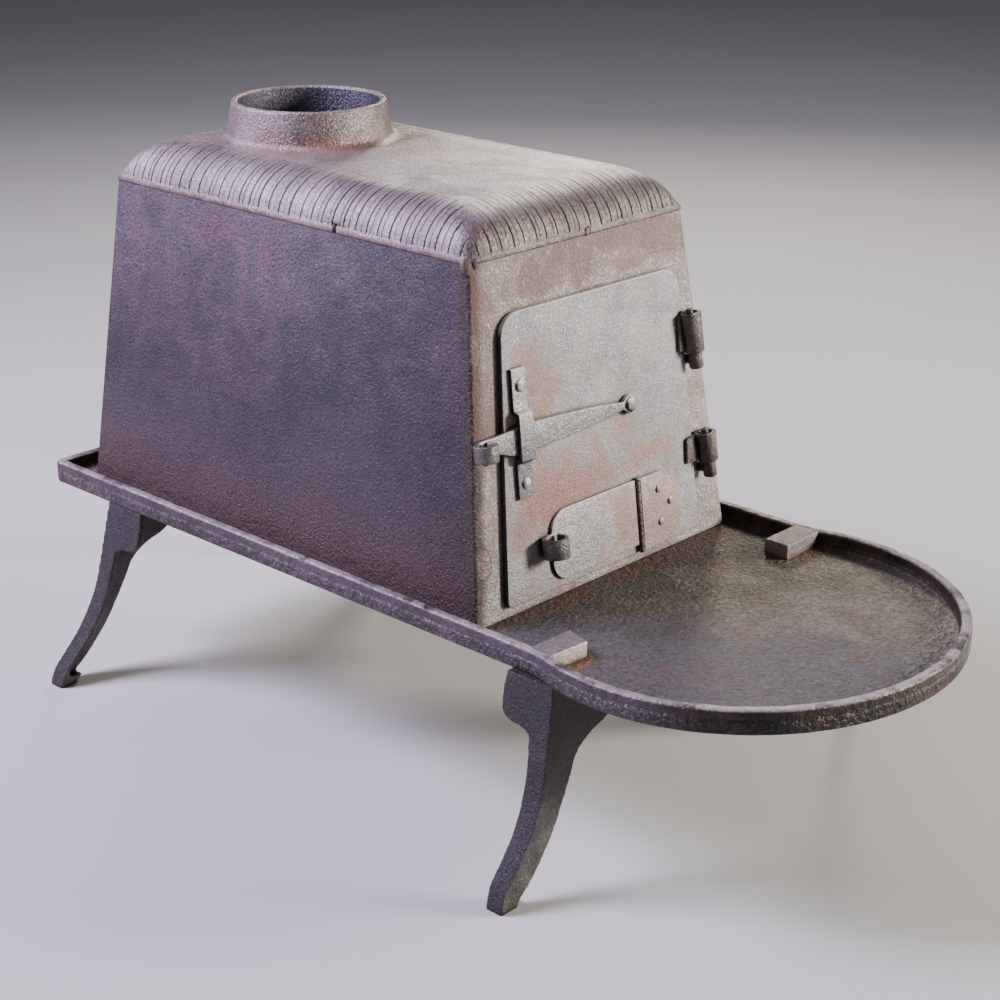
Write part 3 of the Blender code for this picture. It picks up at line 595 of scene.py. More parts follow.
LEG_MAT = iron("leg_iron", (0.017, 0.013, 0.015), (0.038, 0.030, 0.036), rusts=((0.060, 0.028, 0.020), (0.032, 0.015, 0.012)),
               rust=0.54, rust_gain=0.6, worn=(0.26, 0.205, 0.180), wear=0.55, edge_r=0.0014, seed=2.9, regions=leg_regions, rough=(0.50, 0.72), pebble=0.9, metal=0.20)
PIN_MAT = iron("hinge_iron", (0.060, 0.048, 0.042), (0.130, 0.105, 0.092), rusts=((0.140, 0.070, 0.045), (0.070, 0.034, 0.024)),
               rust=0.50, rust_gain=0.7, worn=(0.30, 0.26, 0.23), wear=0.5, seed=6.4, ao=0.004, metal=0.4)


# ribbed top: paler on the flat, lilac on the left, brown on the front, orange at the collar
def top_regions(m, ground, big, mid, patch):
    zz = m.sub(m.z, PZ)
    flat = m.soft(zz, 0.318, 0.3252)
    pale = m.mix(m.soft(m.noise(20.0, 7, 0.70, 0.7, stretch=(1.0, 0.6, 1.0)), 0.36, 0.62), (0.225, 0.185, 0.165), (0.430, 0.398, 0.372))
    plum = m.mix(m.soft(m.noise(19.0, 7, 0.7, 0.8), 0.36, 0.62), (0.120, 0.078, 0.076), (0.215, 0.172, 0.165))
    back = m.soft(m.add(m.y, m.mul(m.sub(patch, 0.5), 0.16)), 0.02, 0.16)
    pale = m.mix(m.mul(back, 0.85), pale, plum)
    col = m.mix(m.mul(flat, 0.85), ground, pale)
    dx, dy = m.x, m.sub(m.y, FY + 0.3643)
    d = m.math('SQRT', m.add(m.mul(dx, dx), m.mul(dy, dy)))
    ring = m.mul(m.band(d, 0.072, 0.085, 0.014), m.soft(zz, 0.345, 0.328))
    front = m.mul(m.soft(dy, 0.02, -0.05), ring)
    col = m.mix(m.mul(m.mul(front, m.soft(patch, 0.40, 0.60)), 0.55), col, (0.270, 0.135, 0.095))
    geo = m.t.nodes.new("ShaderNodeNewGeometry")
    nrm = m.new("ShaderNodeSeparateXYZ", geo.outputs["Normal"])
    face = m.mul(m.soft(nrm.outputs[1], -0.15, -0.60), m.soft(zz, 0.3250, 0.3100))
    brown = m.mix(m.soft(m.noise(22.0, 6, 0.7, 0.6), 0.36, 0.62), (0.100, 0.070, 0.060), (0.190, 0.158, 0.142))
    col = m.mix(m.mul(face, 0.8), col, brown)
    upper = m.mul(m.mul(m.soft(zz, 0.306, 0.320), m.soft(zz, 0.3256, 0.3235)), m.soft(m.nx, 0.1, -0.3))
    col = m.mix(m.mul(upper, m.mad(m.soft(m.noise(14.0, 5, 0.65, 0.5, shift=(2, 0, 4)), 0.38, 0.58), 0.55, 0.25)), col, (0.125, 0.088, 0.098))
    # painted shade: the near corner of the shoulder, where the front and left ribs meet, is darkened
    inset = m.add(m.x, HW1)
    depth = m.sub(m.y, FY + FTOP)
    off = m.add(m.add(inset, depth), m.mul(m.sub(mid, 0.5), 0.008))
    crease = m.mul(m.soft(off, 0.026, 0.010), m.soft(zz, 0.318, 0.300))
    col = m.mix(m.mul(crease, 0.70), col, (0.075, 0.052, 0.056))
    bead = m.mul(m.soft(m.nx, -0.20, -0.60), m.soft(zz, 0.2940, 0.2918))
    col = m.mix(m.mul(bead, 0.80), col, m.mix(m.soft(m.noise(80.0, 5, 0.7), 0.36, 0.60), (0.120, 0.075, 0.090), (0.230, 0.150, 0.150)))
    # painted shade in the rib grooves and the cracks, read from a per-vertex layer made with the shoulder
    line = m.t.nodes.new("ShaderNodeAttribute")
    line.attribute_name = "groove_shade"
    col = m.mix(m.mul(line.outputs["Fac"], 0.80), col, (0.044, 0.028, 0.028))
    under = m.mul(m.band(zz, 0.2870, 0.2882, 0.0006), m.soft(m.noise(60.0, 4), 0.35, 0.60))
    col = m.mix(m.mul(under, 0.8), col, (0.050, 0.022, 0.020))
    bore = m.mul(m.soft(d, 0.0652, 0.0644), m.soft(zz, 0.3586, 0.3560))
    col = m.mix(bore, col, (0.050, 0.043, 0.062))
    return col, m.sub(m.mul(ring, 0.05), bore)


TOP_MAT = iron("top_iron", (0.185, 0.155, 0.160), (0.300, 0.265, 0.270), rusts=((0.260, 0.150, 0.125), (0.150, 0.075, 0.065)),
               rust=0.535, rust_gain=0.55, worn=(0.46, 0.43, 0.42), wear=0.45, ao=0.004, ao_shade_and_dirt_gain=0.9, seed=3.6,
               regions=top_regions, rough=(0.38, 0.60), metal=0.38, pebble=0.60)


# pan: sooty olive floor, dark plum rim with a worn top that also carries a painted highlight
def pan_regions(m, ground, big, mid, patch):
    zz = m.sub(m.z, PZ)
    floor = m.soft(zz, 0.006, 0.0015)
    m.relief = m.mad(floor, 0.68, 0.32)
    soot = m.soft(m.add(m.y, m.mul(m.sub(patch, 0.5), 0.10)), -0.235, -0.125)
    stone = m.mix(m.soft(m.noise(24.0, 7, 0.7, 0.4), 0.36, 0.64), (0.088, 0.075, 0.056), (0.162, 0.144, 0.113))
    stone = m.mix(m.mul(soot, 0.75), stone, (0.045, 0.035, 0.031))
    # painted shade, tinted cool, on the left front of the hearth floor
    cool = m.mul(m.soft(m.add(m.add(m.x, m.mul(m.y, 0.5)), m.mul(m.sub(patch, 0.5), 0.10)), -0.08, -0.20), 0.85)
    stone = m.mix(cool, stone, (0.046, 0.041, 0.050))
    col = m.mix(m.mul(floor, m.soft(m.y, -0.100, -0.112)), ground, stone)
    lip = m.soft(zz, 0.0112, 0.0130)
    geo = m.t.nodes.new("ShaderNodeNewGeometry")
    nrm = m.new("ShaderNodeSeparateXYZ", geo.outputs["Normal"])
    # painted shade on the rim walls: the outer wall at the front and the inner wall on the right are turned dark brown
    wall = m.mul(m.soft(m.math('ABSOLUTE', nrm.outputs[2]), 0.75, 0.35), m.soft(zz, 0.0125, 0.0110))
    ahead = m.mul(m.soft(nrm.outputs[1], -0.20, -0.60), m.soft(m.x, 0.110, 0.020))
    inner = m.mul(m.soft(nrm.outputs[0], -0.05, -0.4), m.soft(m.x, 0.050, 0.110))
    rim_shade = m.mul(wall, m.math('MAXIMUM', ahead, inner))
    brown = m.mix(m.soft(m.noise(30.0, 6, 0.7), 0.40, 0.62), (0.009, 0.006, 0.005), (0.046, 0.025, 0.016))
    col = m.mix(rim_shade, col, brown)
    # the rim top is lightened: wear and a painted highlight
    col = m.mix(m.mul(lip, m.soft(mid, 0.34, 0.54)), col, (0.260, 0.222, 0.220))
    blocks = m.add(m.blob(m.x, m.y, -0.150, FY - 0.0975, 0.020, 0.008), m.blob(m.x, m.y, 0.150, FY - 0.0975, 0.020, 0.008))
    col = m.mix(m.mul(m.mul(blocks, floor), m.soft(patch, 0.30, 0.60)), col, (0.190, 0.098, 0.060))
    foot = m.mul(m.band(m.y, FY - 0.014, FY + 0.004, 0.010), m.soft(m.math('ABSOLUTE', m.x), 0.175, 0.160))
    return col, m.add(m.mul(foot, 0.12), m.mul(m.soft(zz, 0.004, -0.004), 0.05))


PAN_MAT = iron("pan_iron", (0.042, 0.030, 0.034), (0.085, 0.062, 0.072), rusts=((0.160, 0.078, 0.055), (0.090, 0.040, 0.030)),
               rust=0.545, rust_gain=0.65, worn=(0.46, 0.42, 0.42), wear=0.85, edge_r=0.0014, ao=0.008, ao_shade_and_dirt_gain=0.8, seed=5.5,
               regions=pan_regions, rough=(0.46, 0.70), pebble=1.0, metal=0.30, grit_scale=230.0, bump_d=0.0022, cavity=0.80)


# ------------------------------------------------------------------ pan
def pan_line(step=0.0022):
    rx, ry, hx, cy = 0.1907, 0.1799, 0.1800, -0.1409
    neck = math.degrees(math.acos(hx / rx))
    r, y1 = 0.009, 0.5453
    pts = [(rx * math.cos(math.radians(a)), cy + ry * math.sin(math.radians(a)))
           for a in np.linspace(180 - neck, 360 + neck, 140)]
    pts += arc(hx - r, y1 - r, r, 0, 90, 8) + arc(-hx + r, y1 - r, r, 90, 180, 8)
    p = np.array(pts + pts[:1])
    seg = np.hypot(*np.diff(p, axis=0).T)
    t = np.concatenate([[0], np.cumsum(seg)])
    n = int(t[-1] / step)
    u = np.linspace(0, t[-1], n, endpoint=False)
    q = np.column_stack([np.interp(u, t, p[:, 0]), np.interp(u, t, p[:, 1])])
    for _ in range(14):
        near = (np.abs(q[:, 1] + 0.0815) < 0.030)[:, None]
        sm = (np.roll(q, 1, 0) + np.roll(q, -1, 0)) / 2
        q = np.where(near, sm, q)
    return q


line = pan_line()
tang = np.roll(line, -1, 0) - np.roll(line, 1, 0)
tang /= np.hypot(*tang.T)[:, None]
inward = np.column_stack([-tang[:, 1], tang[:, 0]])
section = [(0.0016, -0.00735), (0.0004, -0.0066), (0.0, -0.0052), (0.0, 0.0104), (0.0003, 0.0118), (0.0011, 0.0128),
           (0.0022, 0.01322), (0.0040, 0.01328), (0.0066, 0.01328), (0.0078, 0.0131), (0.0087, 0.0124), (0.0092, 0.0108),
           (0.0095, 0.0060), (0.0098, 0.0024), (0.0108, 0.0008), (0.0126, 0.0002), (0.0145, 0.0)]
rows = []
chips = [((0.0580, -0.3115), 0.010, 0.0022), ((0.0800, -0.3040), 0.008, 0.0014), ((0.0300, -0.3180), 0.009, 0.0012),
         ((0.1900, -0.1700), 0.004, 0.0016), ((-0.1800, 0.1900), 0.006, 0.0012), ((-0.1800, 0.0400), 0.008, 0.0010)]
for k, (inset, z) in enumerate(section):
    row = []
    top_w = max(0.0, min(1.0, (z - 0.0085) / 0.004))
    for (x, y), (ix, iy) in zip(line, inward):
        w = noise.fractal(Vector((x * 55, y * 55, z * 60)), 1.0, 2.0, 3)
        w2 = noise.fractal(Vector((x * 210, y * 210, z * 150)), 1.0, 2.0, 2)
        drop = sum(d * math.exp(-((x - c[0]) ** 2 + (y - c[1]) ** 2) / (2 * (r / 2) ** 2)) for c, r, d in chips)
        dz = top_w * (-abs(w) * 0.00055 - max(0.0, w2) * 0.00035 - drop)
        di = inset + (0.00035 * w2 + 0.0004 * w) * (1 if 0.0 < z else 0.4) + top_w * drop * 0.6
        row.append((x + ix * di, y + iy * di, z + dz))
    rows.append(row)
pan = fix_normals(from_rows("pan_casting", rows, BODY, cap_low=True, cap_high=True))
show(pan, "stove", "base_pan", PAN_MAT)
for side in (-1, 1):
    x0, x1 = (-0.1760, -0.1305) if side < 0 else (0.1290, 0.1752)
    pts = [(x0, -0.0935), (x1, -0.0935), (x1, -0.0690), (x0, -0.0690)]
    if side < 0:
        pts = [(x0, -0.0915), (-0.1360, -0.0945), (-0.1292, -0.0700), (x0, -0.0688)]
    ob = prism(f"hearth_block_{'left' if side < 0 else 'right'}", pts, -0.001, 0.01335, BODY, 0.0011, 3)
    roughen(ob, 0.0003, 160.0)
    show(ob, "stove", None, BLOCK_MAT)
for side in (-1, 1):
    ob = prism(f"rear_block_{'left' if side < 0 else 'right'}",
               [(side * 0.1350 - 0.0185, 0.4265), (side * 0.1350 + 0.0185, 0.4265), (side * 0.1350 + 0.0185, 0.4509),
                (side * 0.1350 - 0.0185, 0.4509)], -0.001, 0.0128, BODY, 0.001, 2)
    show(ob, "stove", None, PAN_MAT)


# ------------------------------------------------------------------ firebox
def rect_ring(hx, y0, y1, z, r, n=10):
    pts = (arc(hx - r, y1 - r, r, 0, 90, n) + arc(-hx + r, y1 - r, r, 90, 180, n)
           + arc(-hx + r, y0 + r, r, 180, 270, n) + arc(hx - r, y0 + r, r, 270, 360, n))
    return [(x, y, z) for x, y in pts]


def box_ring(z, inset, r, n=10):
    t = z / BOX_H
    return rect_ring(HW0 + (HW1 - HW0) * t - inset, FTOP * t + inset, RLEN + (RTOP - RLEN) * t - inset, z, r, n)


shell = from_rows("firebox_shell", [box_ring(GAP, 0, 0.0034), box_ring(BOX_H, 0, 0.0034)], BODY, cap_low=True, cap_high=True)
fix_normals(shell)
boolean(shell, fix_normals(from_rows("void", [box_ring(-0.02, 0.006, 0.003), box_ring(0.31, 0.006, 0.003)], BODY,
                                     cap_low=True, cap_high=True)), 'DIFFERENCE')
OPENING = ((-0.1170, 0.0200), (0.1085, 0.0200), (0.1035, 0.2335), (-0.0975, 0.2350))
boolean(shell, prism("doorway", rounded(OPENING, (0.006, 0.006, 0.012, 0.012), 6), -0.03, 0.02, FACE), 'DIFFERENCE')
for cx, cs, rr in ((-0.1345, 0.1365, 0.0040),):
    boolean(shell, prism("slot", [(cx - 0.0034, cs - 0.0008), (cx + 0.0034, cs - 0.0008), (cx + 0.0034, cs + 0.0024), (cx - 0.0034, cs + 0.0024)],
                         -0.02, 0.01, FACE), 'DIFFERENCE')
shell.data.shade_smooth()
shell.data.set_sharp_from_angle(angle=math.radians(30))
show(shell, "stove", "firebox_body", BODY_MAT)


# ------------------------------------------------------------------ ribbed shoulder
RIB = 0.0132


def shoulder(steps=30):
    """Ribbed quarter-round shoulder in four strips that meet along the corner diagonals."""
    rng = np.random.RandomState(7)
    prof = [(-0.0004, 0.28775, None), (0.0005, 0.28785, None), (0.0008, 0.28850, None), (0.0008, 0.29060, None),
            (0.0005, 0.29160, None), (0.0001, 0.29230, None), (-0.0001, 0.29290, None)]
    t0 = math.asin((0.2936 - BOX_H) / (TOPZ - BOX_H))
    for i in range(steps + 1):
        t = t0 + (math.pi / 2 - t0) * (i / steps) ** 1.2
        prof.append((-SHOULDER * (1 - math.cos(t)), BOX_H + (TOPZ - BOX_H) * math.sin(t), t))
    for i in range(3, -1, -1):
        t = math.radians(90 * i / 3)
        prof.append((-0.006 - (SHOULDER - 0.0024) * (1 - math.cos(t)), BOX_H + 0.0004 + (TOPZ - BOX_H - 0.006) * math.sin(t), None))
    bm = bmesh.new()
    layer = bm.verts.layers.float.new("groove_shade")
    yc, hy = (FTOP + RTOP) / 2, (RTOP - FTOP) / 2
    for side in range(4):
        long = side % 2 == 0                     # 0 left, 2 right run along y; 1 front, 3 back along x
        half = (hy if long else HW1)
        count = int(half / RIB) + 1
        grooves = []
        for k in range(-count, count + 1):
            grooves.append((k * RIB + rng.uniform(-0.0009, 0.0009), rng.uniform(0.00110, 0.00165), rng.uniform(0.55, 1.0), rng.uniform(-0.12, 0.12)))
            grooves.append(((k + 0.5) * RIB + rng.uniform(-0.0016, 0.0016), rng.uniform(0.00025, 0.00070), rng.uniform(0.12, 0.50), rng.uniform(0.0, 0.30)))
        cols = {-half - 0.0020, half + 0.0020}
        for g, depth, dark, top in grooves:
            w = 0.00068 if depth > 0.001 else 0.00050
            for d in (-w, -0.5 * w, 0.0, 0.5 * w, w):
                cols.add(round(g + d, 6))
        cols |= {round(v, 6) for v in np.arange(-half, half, 0.0022)}
        if side == 0:
            cols |= {round(0.1897 - yc + d, 6) for d in (-0.0028, -0.0018, -0.0009, 0.0, 0.0009, 0.0018, 0.0028)}
        cols = sorted(c for c in cols if abs(c) <= half + 0.0021)
        grid = []
        for off, z, t in prof:
            hx, hl = HW1 + off, hy + off
            e, depth_half = (hl, hx) if long else (hx, hl)
            tt = math.asin(max(0.0, min(1.0, (z - BOX_H) / (TOPZ - BOX_H))))
            ease = min(1.0, tt / 0.35)
            r = 0.0034 + 0.0100 * ease * ease * (3 - 2 * ease) + 0.0100 * (1 - math.cos(tt))
            if t is None and off < -0.002:
                r = max(r - 0.005, 0.002)
            limit = e - r * (1 - math.cos(math.pi / 4))
            row = []
            for c in cols:
                u = max(-limit, min(limit, c))
                over = abs(u) - (e - r)
                nu = nv = 0.0
                if over > 0:
                    v = depth_half - r + math.sqrt(max(r * r - over * over, 0.0))
                    nu = math.copysign(over / r, u)
                    nv = math.sqrt(max(1 - nu * nu, 0.0))
                else:
                    v, nv = depth_half, 1.0
                dn = dark = 0.0
                if t is not None and abs(c) < limit + 0.0001:
                    near = max(0.0, min(1.0, (limit - abs(u)) / 0.006))
                    for g, depth, shade, top in grooves:
                        w = 0.00068 if depth > 0.001 else 0.00050
                        d = abs(c - g)
                        if d < w * 1.6:
                            fade = max(0.0, min(1.0, (math.pi / 2 - t + top * 0.5) / 0.30))
                            dn -= max(0.0, 1.0 - d / w) * depth * near * fade
                            # painted shade for grooves and cracks, kept per vertex
                            dark = max(dark, max(0.0, 1.0 - d / (w * 1.1)) * shade * near * max(0.0, min(1.0, (math.pi / 2 - t + top) / 0.85)))
                if side == 0:
                    y = yc + u
                    cut = max(0.0, 1.0 - abs(y - 0.1897) / 0.0026) * (1.0 if z < 0.2950 else 0.0)
                    zc = 0.2948 + max(0.0, 0.1840 - y) * 0.9
                    crack = max(0.0, 1.0 - abs(z - zc) / 0.0011) if 0.1750 < y < 0.1950 and t is not None else 0.0
                    dn -= 0.0030 * cut + 0.0013 * crack
                    dark = max(dark, cut, crack)
                su, sv = {0: ((0, 1), (-1, 0)), 2: ((0, 1), (1, 0)), 1: ((1, 0), (0, -1)), 3: ((1, 0), (0, 1))}[side]
                x = su[0] * u + sv[0] * v
                y = yc + su[1] * u + sv[1] * v
                wob = noise.fractal(Vector((x * 90, y * 90, z * 90)), 1.0, 2.0, 2) * 0.00022
                dn += wob
                tt = t or 0.0
                ox = (su[0] * nu + sv[0] * nv) * dn * math.cos(tt)
                oy = (su[1] * nu + sv[1] * nv) * dn * math.cos(tt)
                vert = bm.verts.new((x + ox, y + oy, z + dn * math.sin(tt)))
                vert[layer] = dark
                row.append(vert)
            grid.append(row)
        m = len(grid)
        for i in range(m):
            for j in range(len(cols) - 1):
                bm.faces.new((grid[i][j], grid[i][j + 1], grid[(i + 1) % m][j + 1], grid[(i + 1) % m][j]))
    bmesh.ops.remove_doubles(bm, verts=bm.verts, dist=2e-6)
    bmesh.ops.recalc_face_normals(bm, faces=bm.faces)
    me = bpy.data.meshes.new("ribbed_shoulder")
    bm.to_mesh(me)
    bm.free()
    me.transform(BODY)
    me.shade_smooth()
    return link("ribbed_shoulder", me)


show(shoulder(), "stove", "top_plate", TOP_MAT)

flat_line = [(x, y) for x, y, _ in rect_ring(HW1 - SHOULDER + 0.0012, FTOP + SHOULDER - 0.0012, RTOP - SHOULDER + 0.0012, 0, 0.0235, 14)]
top_flat = prism("top_flat", flat_line, 0.3197, TOPZ + 0.00012, BODY, 0.0006, 2)
boolean(top_flat, lathe("bore", [(0, 0.30), (0.0641, 0.30), (0.0641, 0.35), (0, 0.35)], BODY @ Matrix.Translation((0, 0.3643, 0)), 96), 'DIFFERENCE')
top_flat.data.shade_smooth()
top_flat.data.set_sharp_from_angle(angle=math.radians(30))
show(top_flat, "stove", None, TOP_MAT)

# knocks on the near corner and along the front bead
def knock(name, place_at, normal, r, h, mat, long=1.0, flat=None):
    n = Vector(normal).normalized()
    a = Vector(flat or (0, 0, 1))
    a = (a - n * a.dot(n)).normalized()
    prof = [(0, h)] + [(r * math.sin(t), h * math.cos(t)) for t in np.linspace(0.3, 1.57, 7)] + [(r, -0.0015), (0, -0.0015)]
    ob = lathe(name, prof, Matrix.Identity(4), 36)
    ob.data.transform(Matrix.Diagonal((long, 1.0, 1.0, 1.0)))
    ob.data.transform(BODY @ basis(a, n.cross(a), n, place_at))
    roughen(ob, 0.00025, 200.0)
    return show(ob, "stove", None, mat)


knock("corner_lump", (-0.1306, 0.0396, 0.2866), (-0.40, -0.90, 0.15), 0.0058, 0.0032, KNOCK_MAT, 1.25)
knock("corner_lump_side", (-0.1318, 0.0425, 0.2848), (-0.90, -0.40, 0.15), 0.0036, 0.0022, BODY_MAT, 1.4)
# painted shade: a small near-black dome stands for the dark inside of a pit
knock("corner_pit", (-0.1260, 0.0358, 0.2882), (0.10, -0.98, 0.10), 0.0026, 0.0012, HOLE_MAT, 1.6)
knock("bead_lump", (0.0070, 0.0371, 0.2903), (0, -1, 0.1), 0.0034, 0.0017, TOP_MAT)
knock("bead_lump_shadow", (0.0102, 0.0374, 0.2906), (0, -1, 0.1), 0.0026, 0.0010, HOLE_MAT, 1.3)

z0 = TOPZ
collar_profile = ([(0.0640, 0.3196), (0.0640, 0.3560), (0.0645, 0.3577), (0.0656, 0.3586), (0.0688, 0.3586), (0.0698, 0.3579), (0.0702, 0.3566)]
                  + [(0.0702 + 0.0042 * f, 0.3566 - 0.0246 * f) for f in (0.15, 0.3, 0.45, 0.6, 0.75, 0.9, 1.0)]
                  + [(0.0744 + 0.0096 * (1 - math.cos(a)), 0.3320 - 0.0062 * math.sin(a)) for a in np.linspace(0.2, math.pi / 2, 8)]
                  + [(0.0860, 0.3252), (0.0862, 0.3235), (0.0760, 0.3196)])
collar = lathe("flue_collar", collar_profile, BODY @ Matrix.Translation((0, 0.3643, 0)), 180)
roughen(collar, 0.00030, 90.0)
show(collar, "stove", None, TOP_MAT)

# ------------------------------------------------------------------ legs
LEG_TOP = -0.00765
LEG_END = -0.0068
OUTER = smooth_line([(-0.1854, LEG_TOP), (-0.1904, -0.0530), (-0.1955, -0.0906), (-0.2033, -0.1138), (-0.2122, -0.1321),
                     (-0.2235, -0.1477), (-0.2382, -0.1670), (-0.2426, -0.1830)])
INNER = smooth_line([(-0.2232, -0.1830), (-0.2210, -0.1776), (-0.2095, -0.1674), (-0.1980, -0.1544), (-0.1843, -0.1352),
                     (-0.1729, -0.1131), (-0.1639, -0.0927), (-0.1560, -0.0737), (-0.1408, -0.0620), (-0.1205, -0.0546),
                     (-0.1120, -0.0450), (-0.1100, -0.0300), (-0.1100, LEG_TOP)])
EAR = smooth_line([(0.0172, -0.1830), (0.0185, -0.1200), (0.0202, -0.0600), (0.0225, -0.0515), (0.0315, -0.0486),
                   (0.0400, -0.0479), (0.0464, -0.0449), (0.0505, -0.0377), (0.0507, -0.0247), (0.0480, LEG_TOP)])


def leg(name, right, rear):
    ob = prism(name, [(-0.1851, LEG_END)] + OUTER + INNER + [(-0.1100, LEG_END)], -0.0520, 0.0, UPRIGHT)
    boolean(ob, prism("side", [(0.0, LEG_END), (0.0, -0.1830)] + EAR + [(0.0476, LEG_END)], -0.26, -0.10, SIDE), 'INTERSECT')
    inside = [(x + 0.006, z) for x, z in OUTER if LEG_TOP - 0.006 > z > -0.172]
    inside = ([(-0.1854 + 0.0066, LEG_TOP - 0.006)] + inside + [(inside[-1][0] + 0.004, -0.174), (-0.06, -0.174), (-0.06, LEG_TOP - 0.006)])
    boolean(ob, prism("hollow", inside, -0.08, -0.006, UPRIGHT), 'DIFFERENCE')
    cast(ob, 0.00125, 3)
    me = ob.data
    n = len(me.vertices)
    co = np.empty(n * 3, np.float32)
    me.vertices.foreach_get("co", co)
    co = co.reshape(-1, 3)
    if rear:
        k = np.where(co[:, 2] < LEG_TOP, (co[:, 2] - LEG_TOP) / (0.1830 + LEG_TOP), 0.0)
        co[:, 1] += 0.0265 * k
        co[:, 0] += 0.0054 * (1 + k)
        co[:, 1] = 0.4605 - co[:, 1]
    else:
        co[:, 1] += -0.1028
    if right:
        co[:, 0] *= -1
    me.vertices.foreach_set("co", co.ravel())
    if right != rear:
        me.flip_normals()
    me.transform(BODY)
    me.update()
    roughen(ob, 0.00022, 80.0, keep_z=0.004)
    # the sole stays flat on the ground
    me.vertices.foreach_get("co", co.reshape(-1))
    flatco = np.empty(n * 3, np.float32)
    me.vertices.foreach_get("co", flatco)
    flatco = flatco.reshape(-1, 3)
    flatco[:, 2] = np.where(flatco[:, 2] < 0.0022, 0.0002, flatco[:, 2])
    me.vertices.foreach_set("co", flatco.ravel())
    me.update()
    return show(ob, "stove", name.replace("_casting", ""), LEG_MAT)


for nm, rt, rr in (("front_left_leg_casting", False, False), ("front_right_leg_casting", True, False),
                   ("rear_left_leg_casting", False, True), ("rear_right_leg_casting", True, True)):
    leg(nm, rt, rr)


# ------------------------------------------------------------------ door
def hinge_t(s):
    return (s - 0.0947) / math.cos(HINGE_LEAN)


def hinge_x(s):
    return 0.1290 - (s - 0.0947) * math.tan(HINGE_LEAN)


DOOR_LINE = rounded(((-0.1290, 0.0092), (0.1202, 0.0092), (0.1146, 0.2443), (-0.1075, 0.2466)), (0.005, 0.004, 0.020, 0.022), 10)
door = prism("door_casting", DOOR_LINE, 0.0003, 0.0053, FACE, 0.0013, 4)
boolean(door, prism("draft", rounded(((-0.055, 0.022), (0.025, 0.022), (0.025, 0.065), (-0.055, 0.065)), (0.006,) * 4, 5), -0.01, 0.02, FACE), 'DIFFERENCE')
door.data.shade_smooth()
door.data.set_sharp_from_angle(angle=math.radians(30))
show(door, "door", "door_plate", DOOR_MAT)

for tag, s0, s1 in (("lower", 0.0684, 0.0947), ("upper", 0.1685, 0.2036)):
    a, b = hinge_t(s0), hinge_t(s1)
    prof = [(0.0041, a), (0.0084, a), (0.0089, a + 0.0007), (0.0093, (a + b) / 2), (0.0099, b - 0.0008), (0.0094, b),
            (0.0066, b), (0.0061, b - 0.0010), (0.0058, b - 0.0028), (0.0041, b - 0.0032)]
    barrel = lathe(f"{tag}_hinge_barrel", prof, HINGE, 40)
    roughen(barrel, 0.00022, 260.0)
    show(barrel, "door", None, PIN_MAT)
    lug = prism(f"{tag}_hinge_lug", [(0.1060, s0 + 0.0022), (hinge_x(s0) - 0.0050, s0 + 0.0012), (hinge_x(s1) - 0.0050, s1 - 0.0012), (0.1075, s1 - 0.0022)],
                0.0030, 0.0088, FACE, 0.0012, 2)
    show(lug, "door", None, PIN_MAT)
    lo, hi = hinge_t(s0) - 0.0150, hinge_t(s1) + 0.0030
    seat = hinge_t(s0) - GAP
    pin = lathe(f"{tag}_pintle", [(0, lo), (0.0052, lo), (0.0062, lo + 0.0009), (0.0062, seat - 0.0007), (0.0056, seat), (0.0034, seat),
                                  (0.0034, hi - 0.0008), (0.0028, hi), (0, hi)], HINGE, 32)
    roughen(pin, 0.00018, 300.0)
    foot = FACE @ Matrix.Translation((hinge_x(s0 - 0.0075), s0 - 0.0075, 0))
    show(pin, "stove", f"{tag}_hinge_pin", PIN_MAT)
    shank = lathe(f"{tag}_pintle_shank", [(0, -0.0092), (0.0074, -0.0092), (0.0066, -0.0063), (0.0043, -0.0063), (0.0043, 0.0115), (0, 0.0115)], foot, 24)
    show(shank, "stove", None, PIN_MAT)

# latch catch in the front wall, its lip inside the arm's curl
hook = prism("catch_hook", [(-0.1365, -0.0090), (-0.1305, -0.0090), (-0.1305, 0.0020), (-0.1440, 0.0178), (-0.1508, 0.0178), (-0.1508, 0.0130),
                            (-0.1470, 0.0125), (-0.1365, 0.0008)], -0.1386, -0.1362, PLAN, 0.0004, 2)
lip = prism("catch_lip", [(-0.1505, 0.1370), (-0.1447, 0.1370), (-0.1447, 0.1468), (-0.1505, 0.1468)], 0.0134, 0.0177, FACE, 0.0008, 2)
show(hook, "stove", "latch_catch", PIN_MAT)
show(lip, "stove", None, PIN_MAT)

# keeper strap
KEEP = (FACE @ Matrix.Translation((-0.0975, 0, 0)) @ basis((0.0279, 0.99961, 0), (0, 0, 1), (0.99961, -0.0279, 0), (-0.0279 * 0.1490, 0, 0)))
keeper = prism("keeper_strap", [(0.0955, 0.0086), (0.0955, 0.0056), (0.1262, 0.0056), (0.1280, 0.0066), (0.1292, 0.0100), (0.1302, 0.0112), (0.1633, 0.0112),
                                (0.1643, 0.0100), (0.1655, 0.0066), (0.1673, 0.0056), (0.2025, 0.0056), (0.2025, 0.0086), (0.1693, 0.0086), (0.1682, 0.0094),
                                (0.1668, 0.0130), (0.1652, 0.0142), (0.1283, 0.0142), (0.1267, 0.0130), (0.1253, 0.0094), (0.1242, 0.0086)],
               -0.0085, 0.0085, KEEP, 0.0006, 2, sharp=50)
show(keeper, "door", "latch_keeper", FIT_MAT)


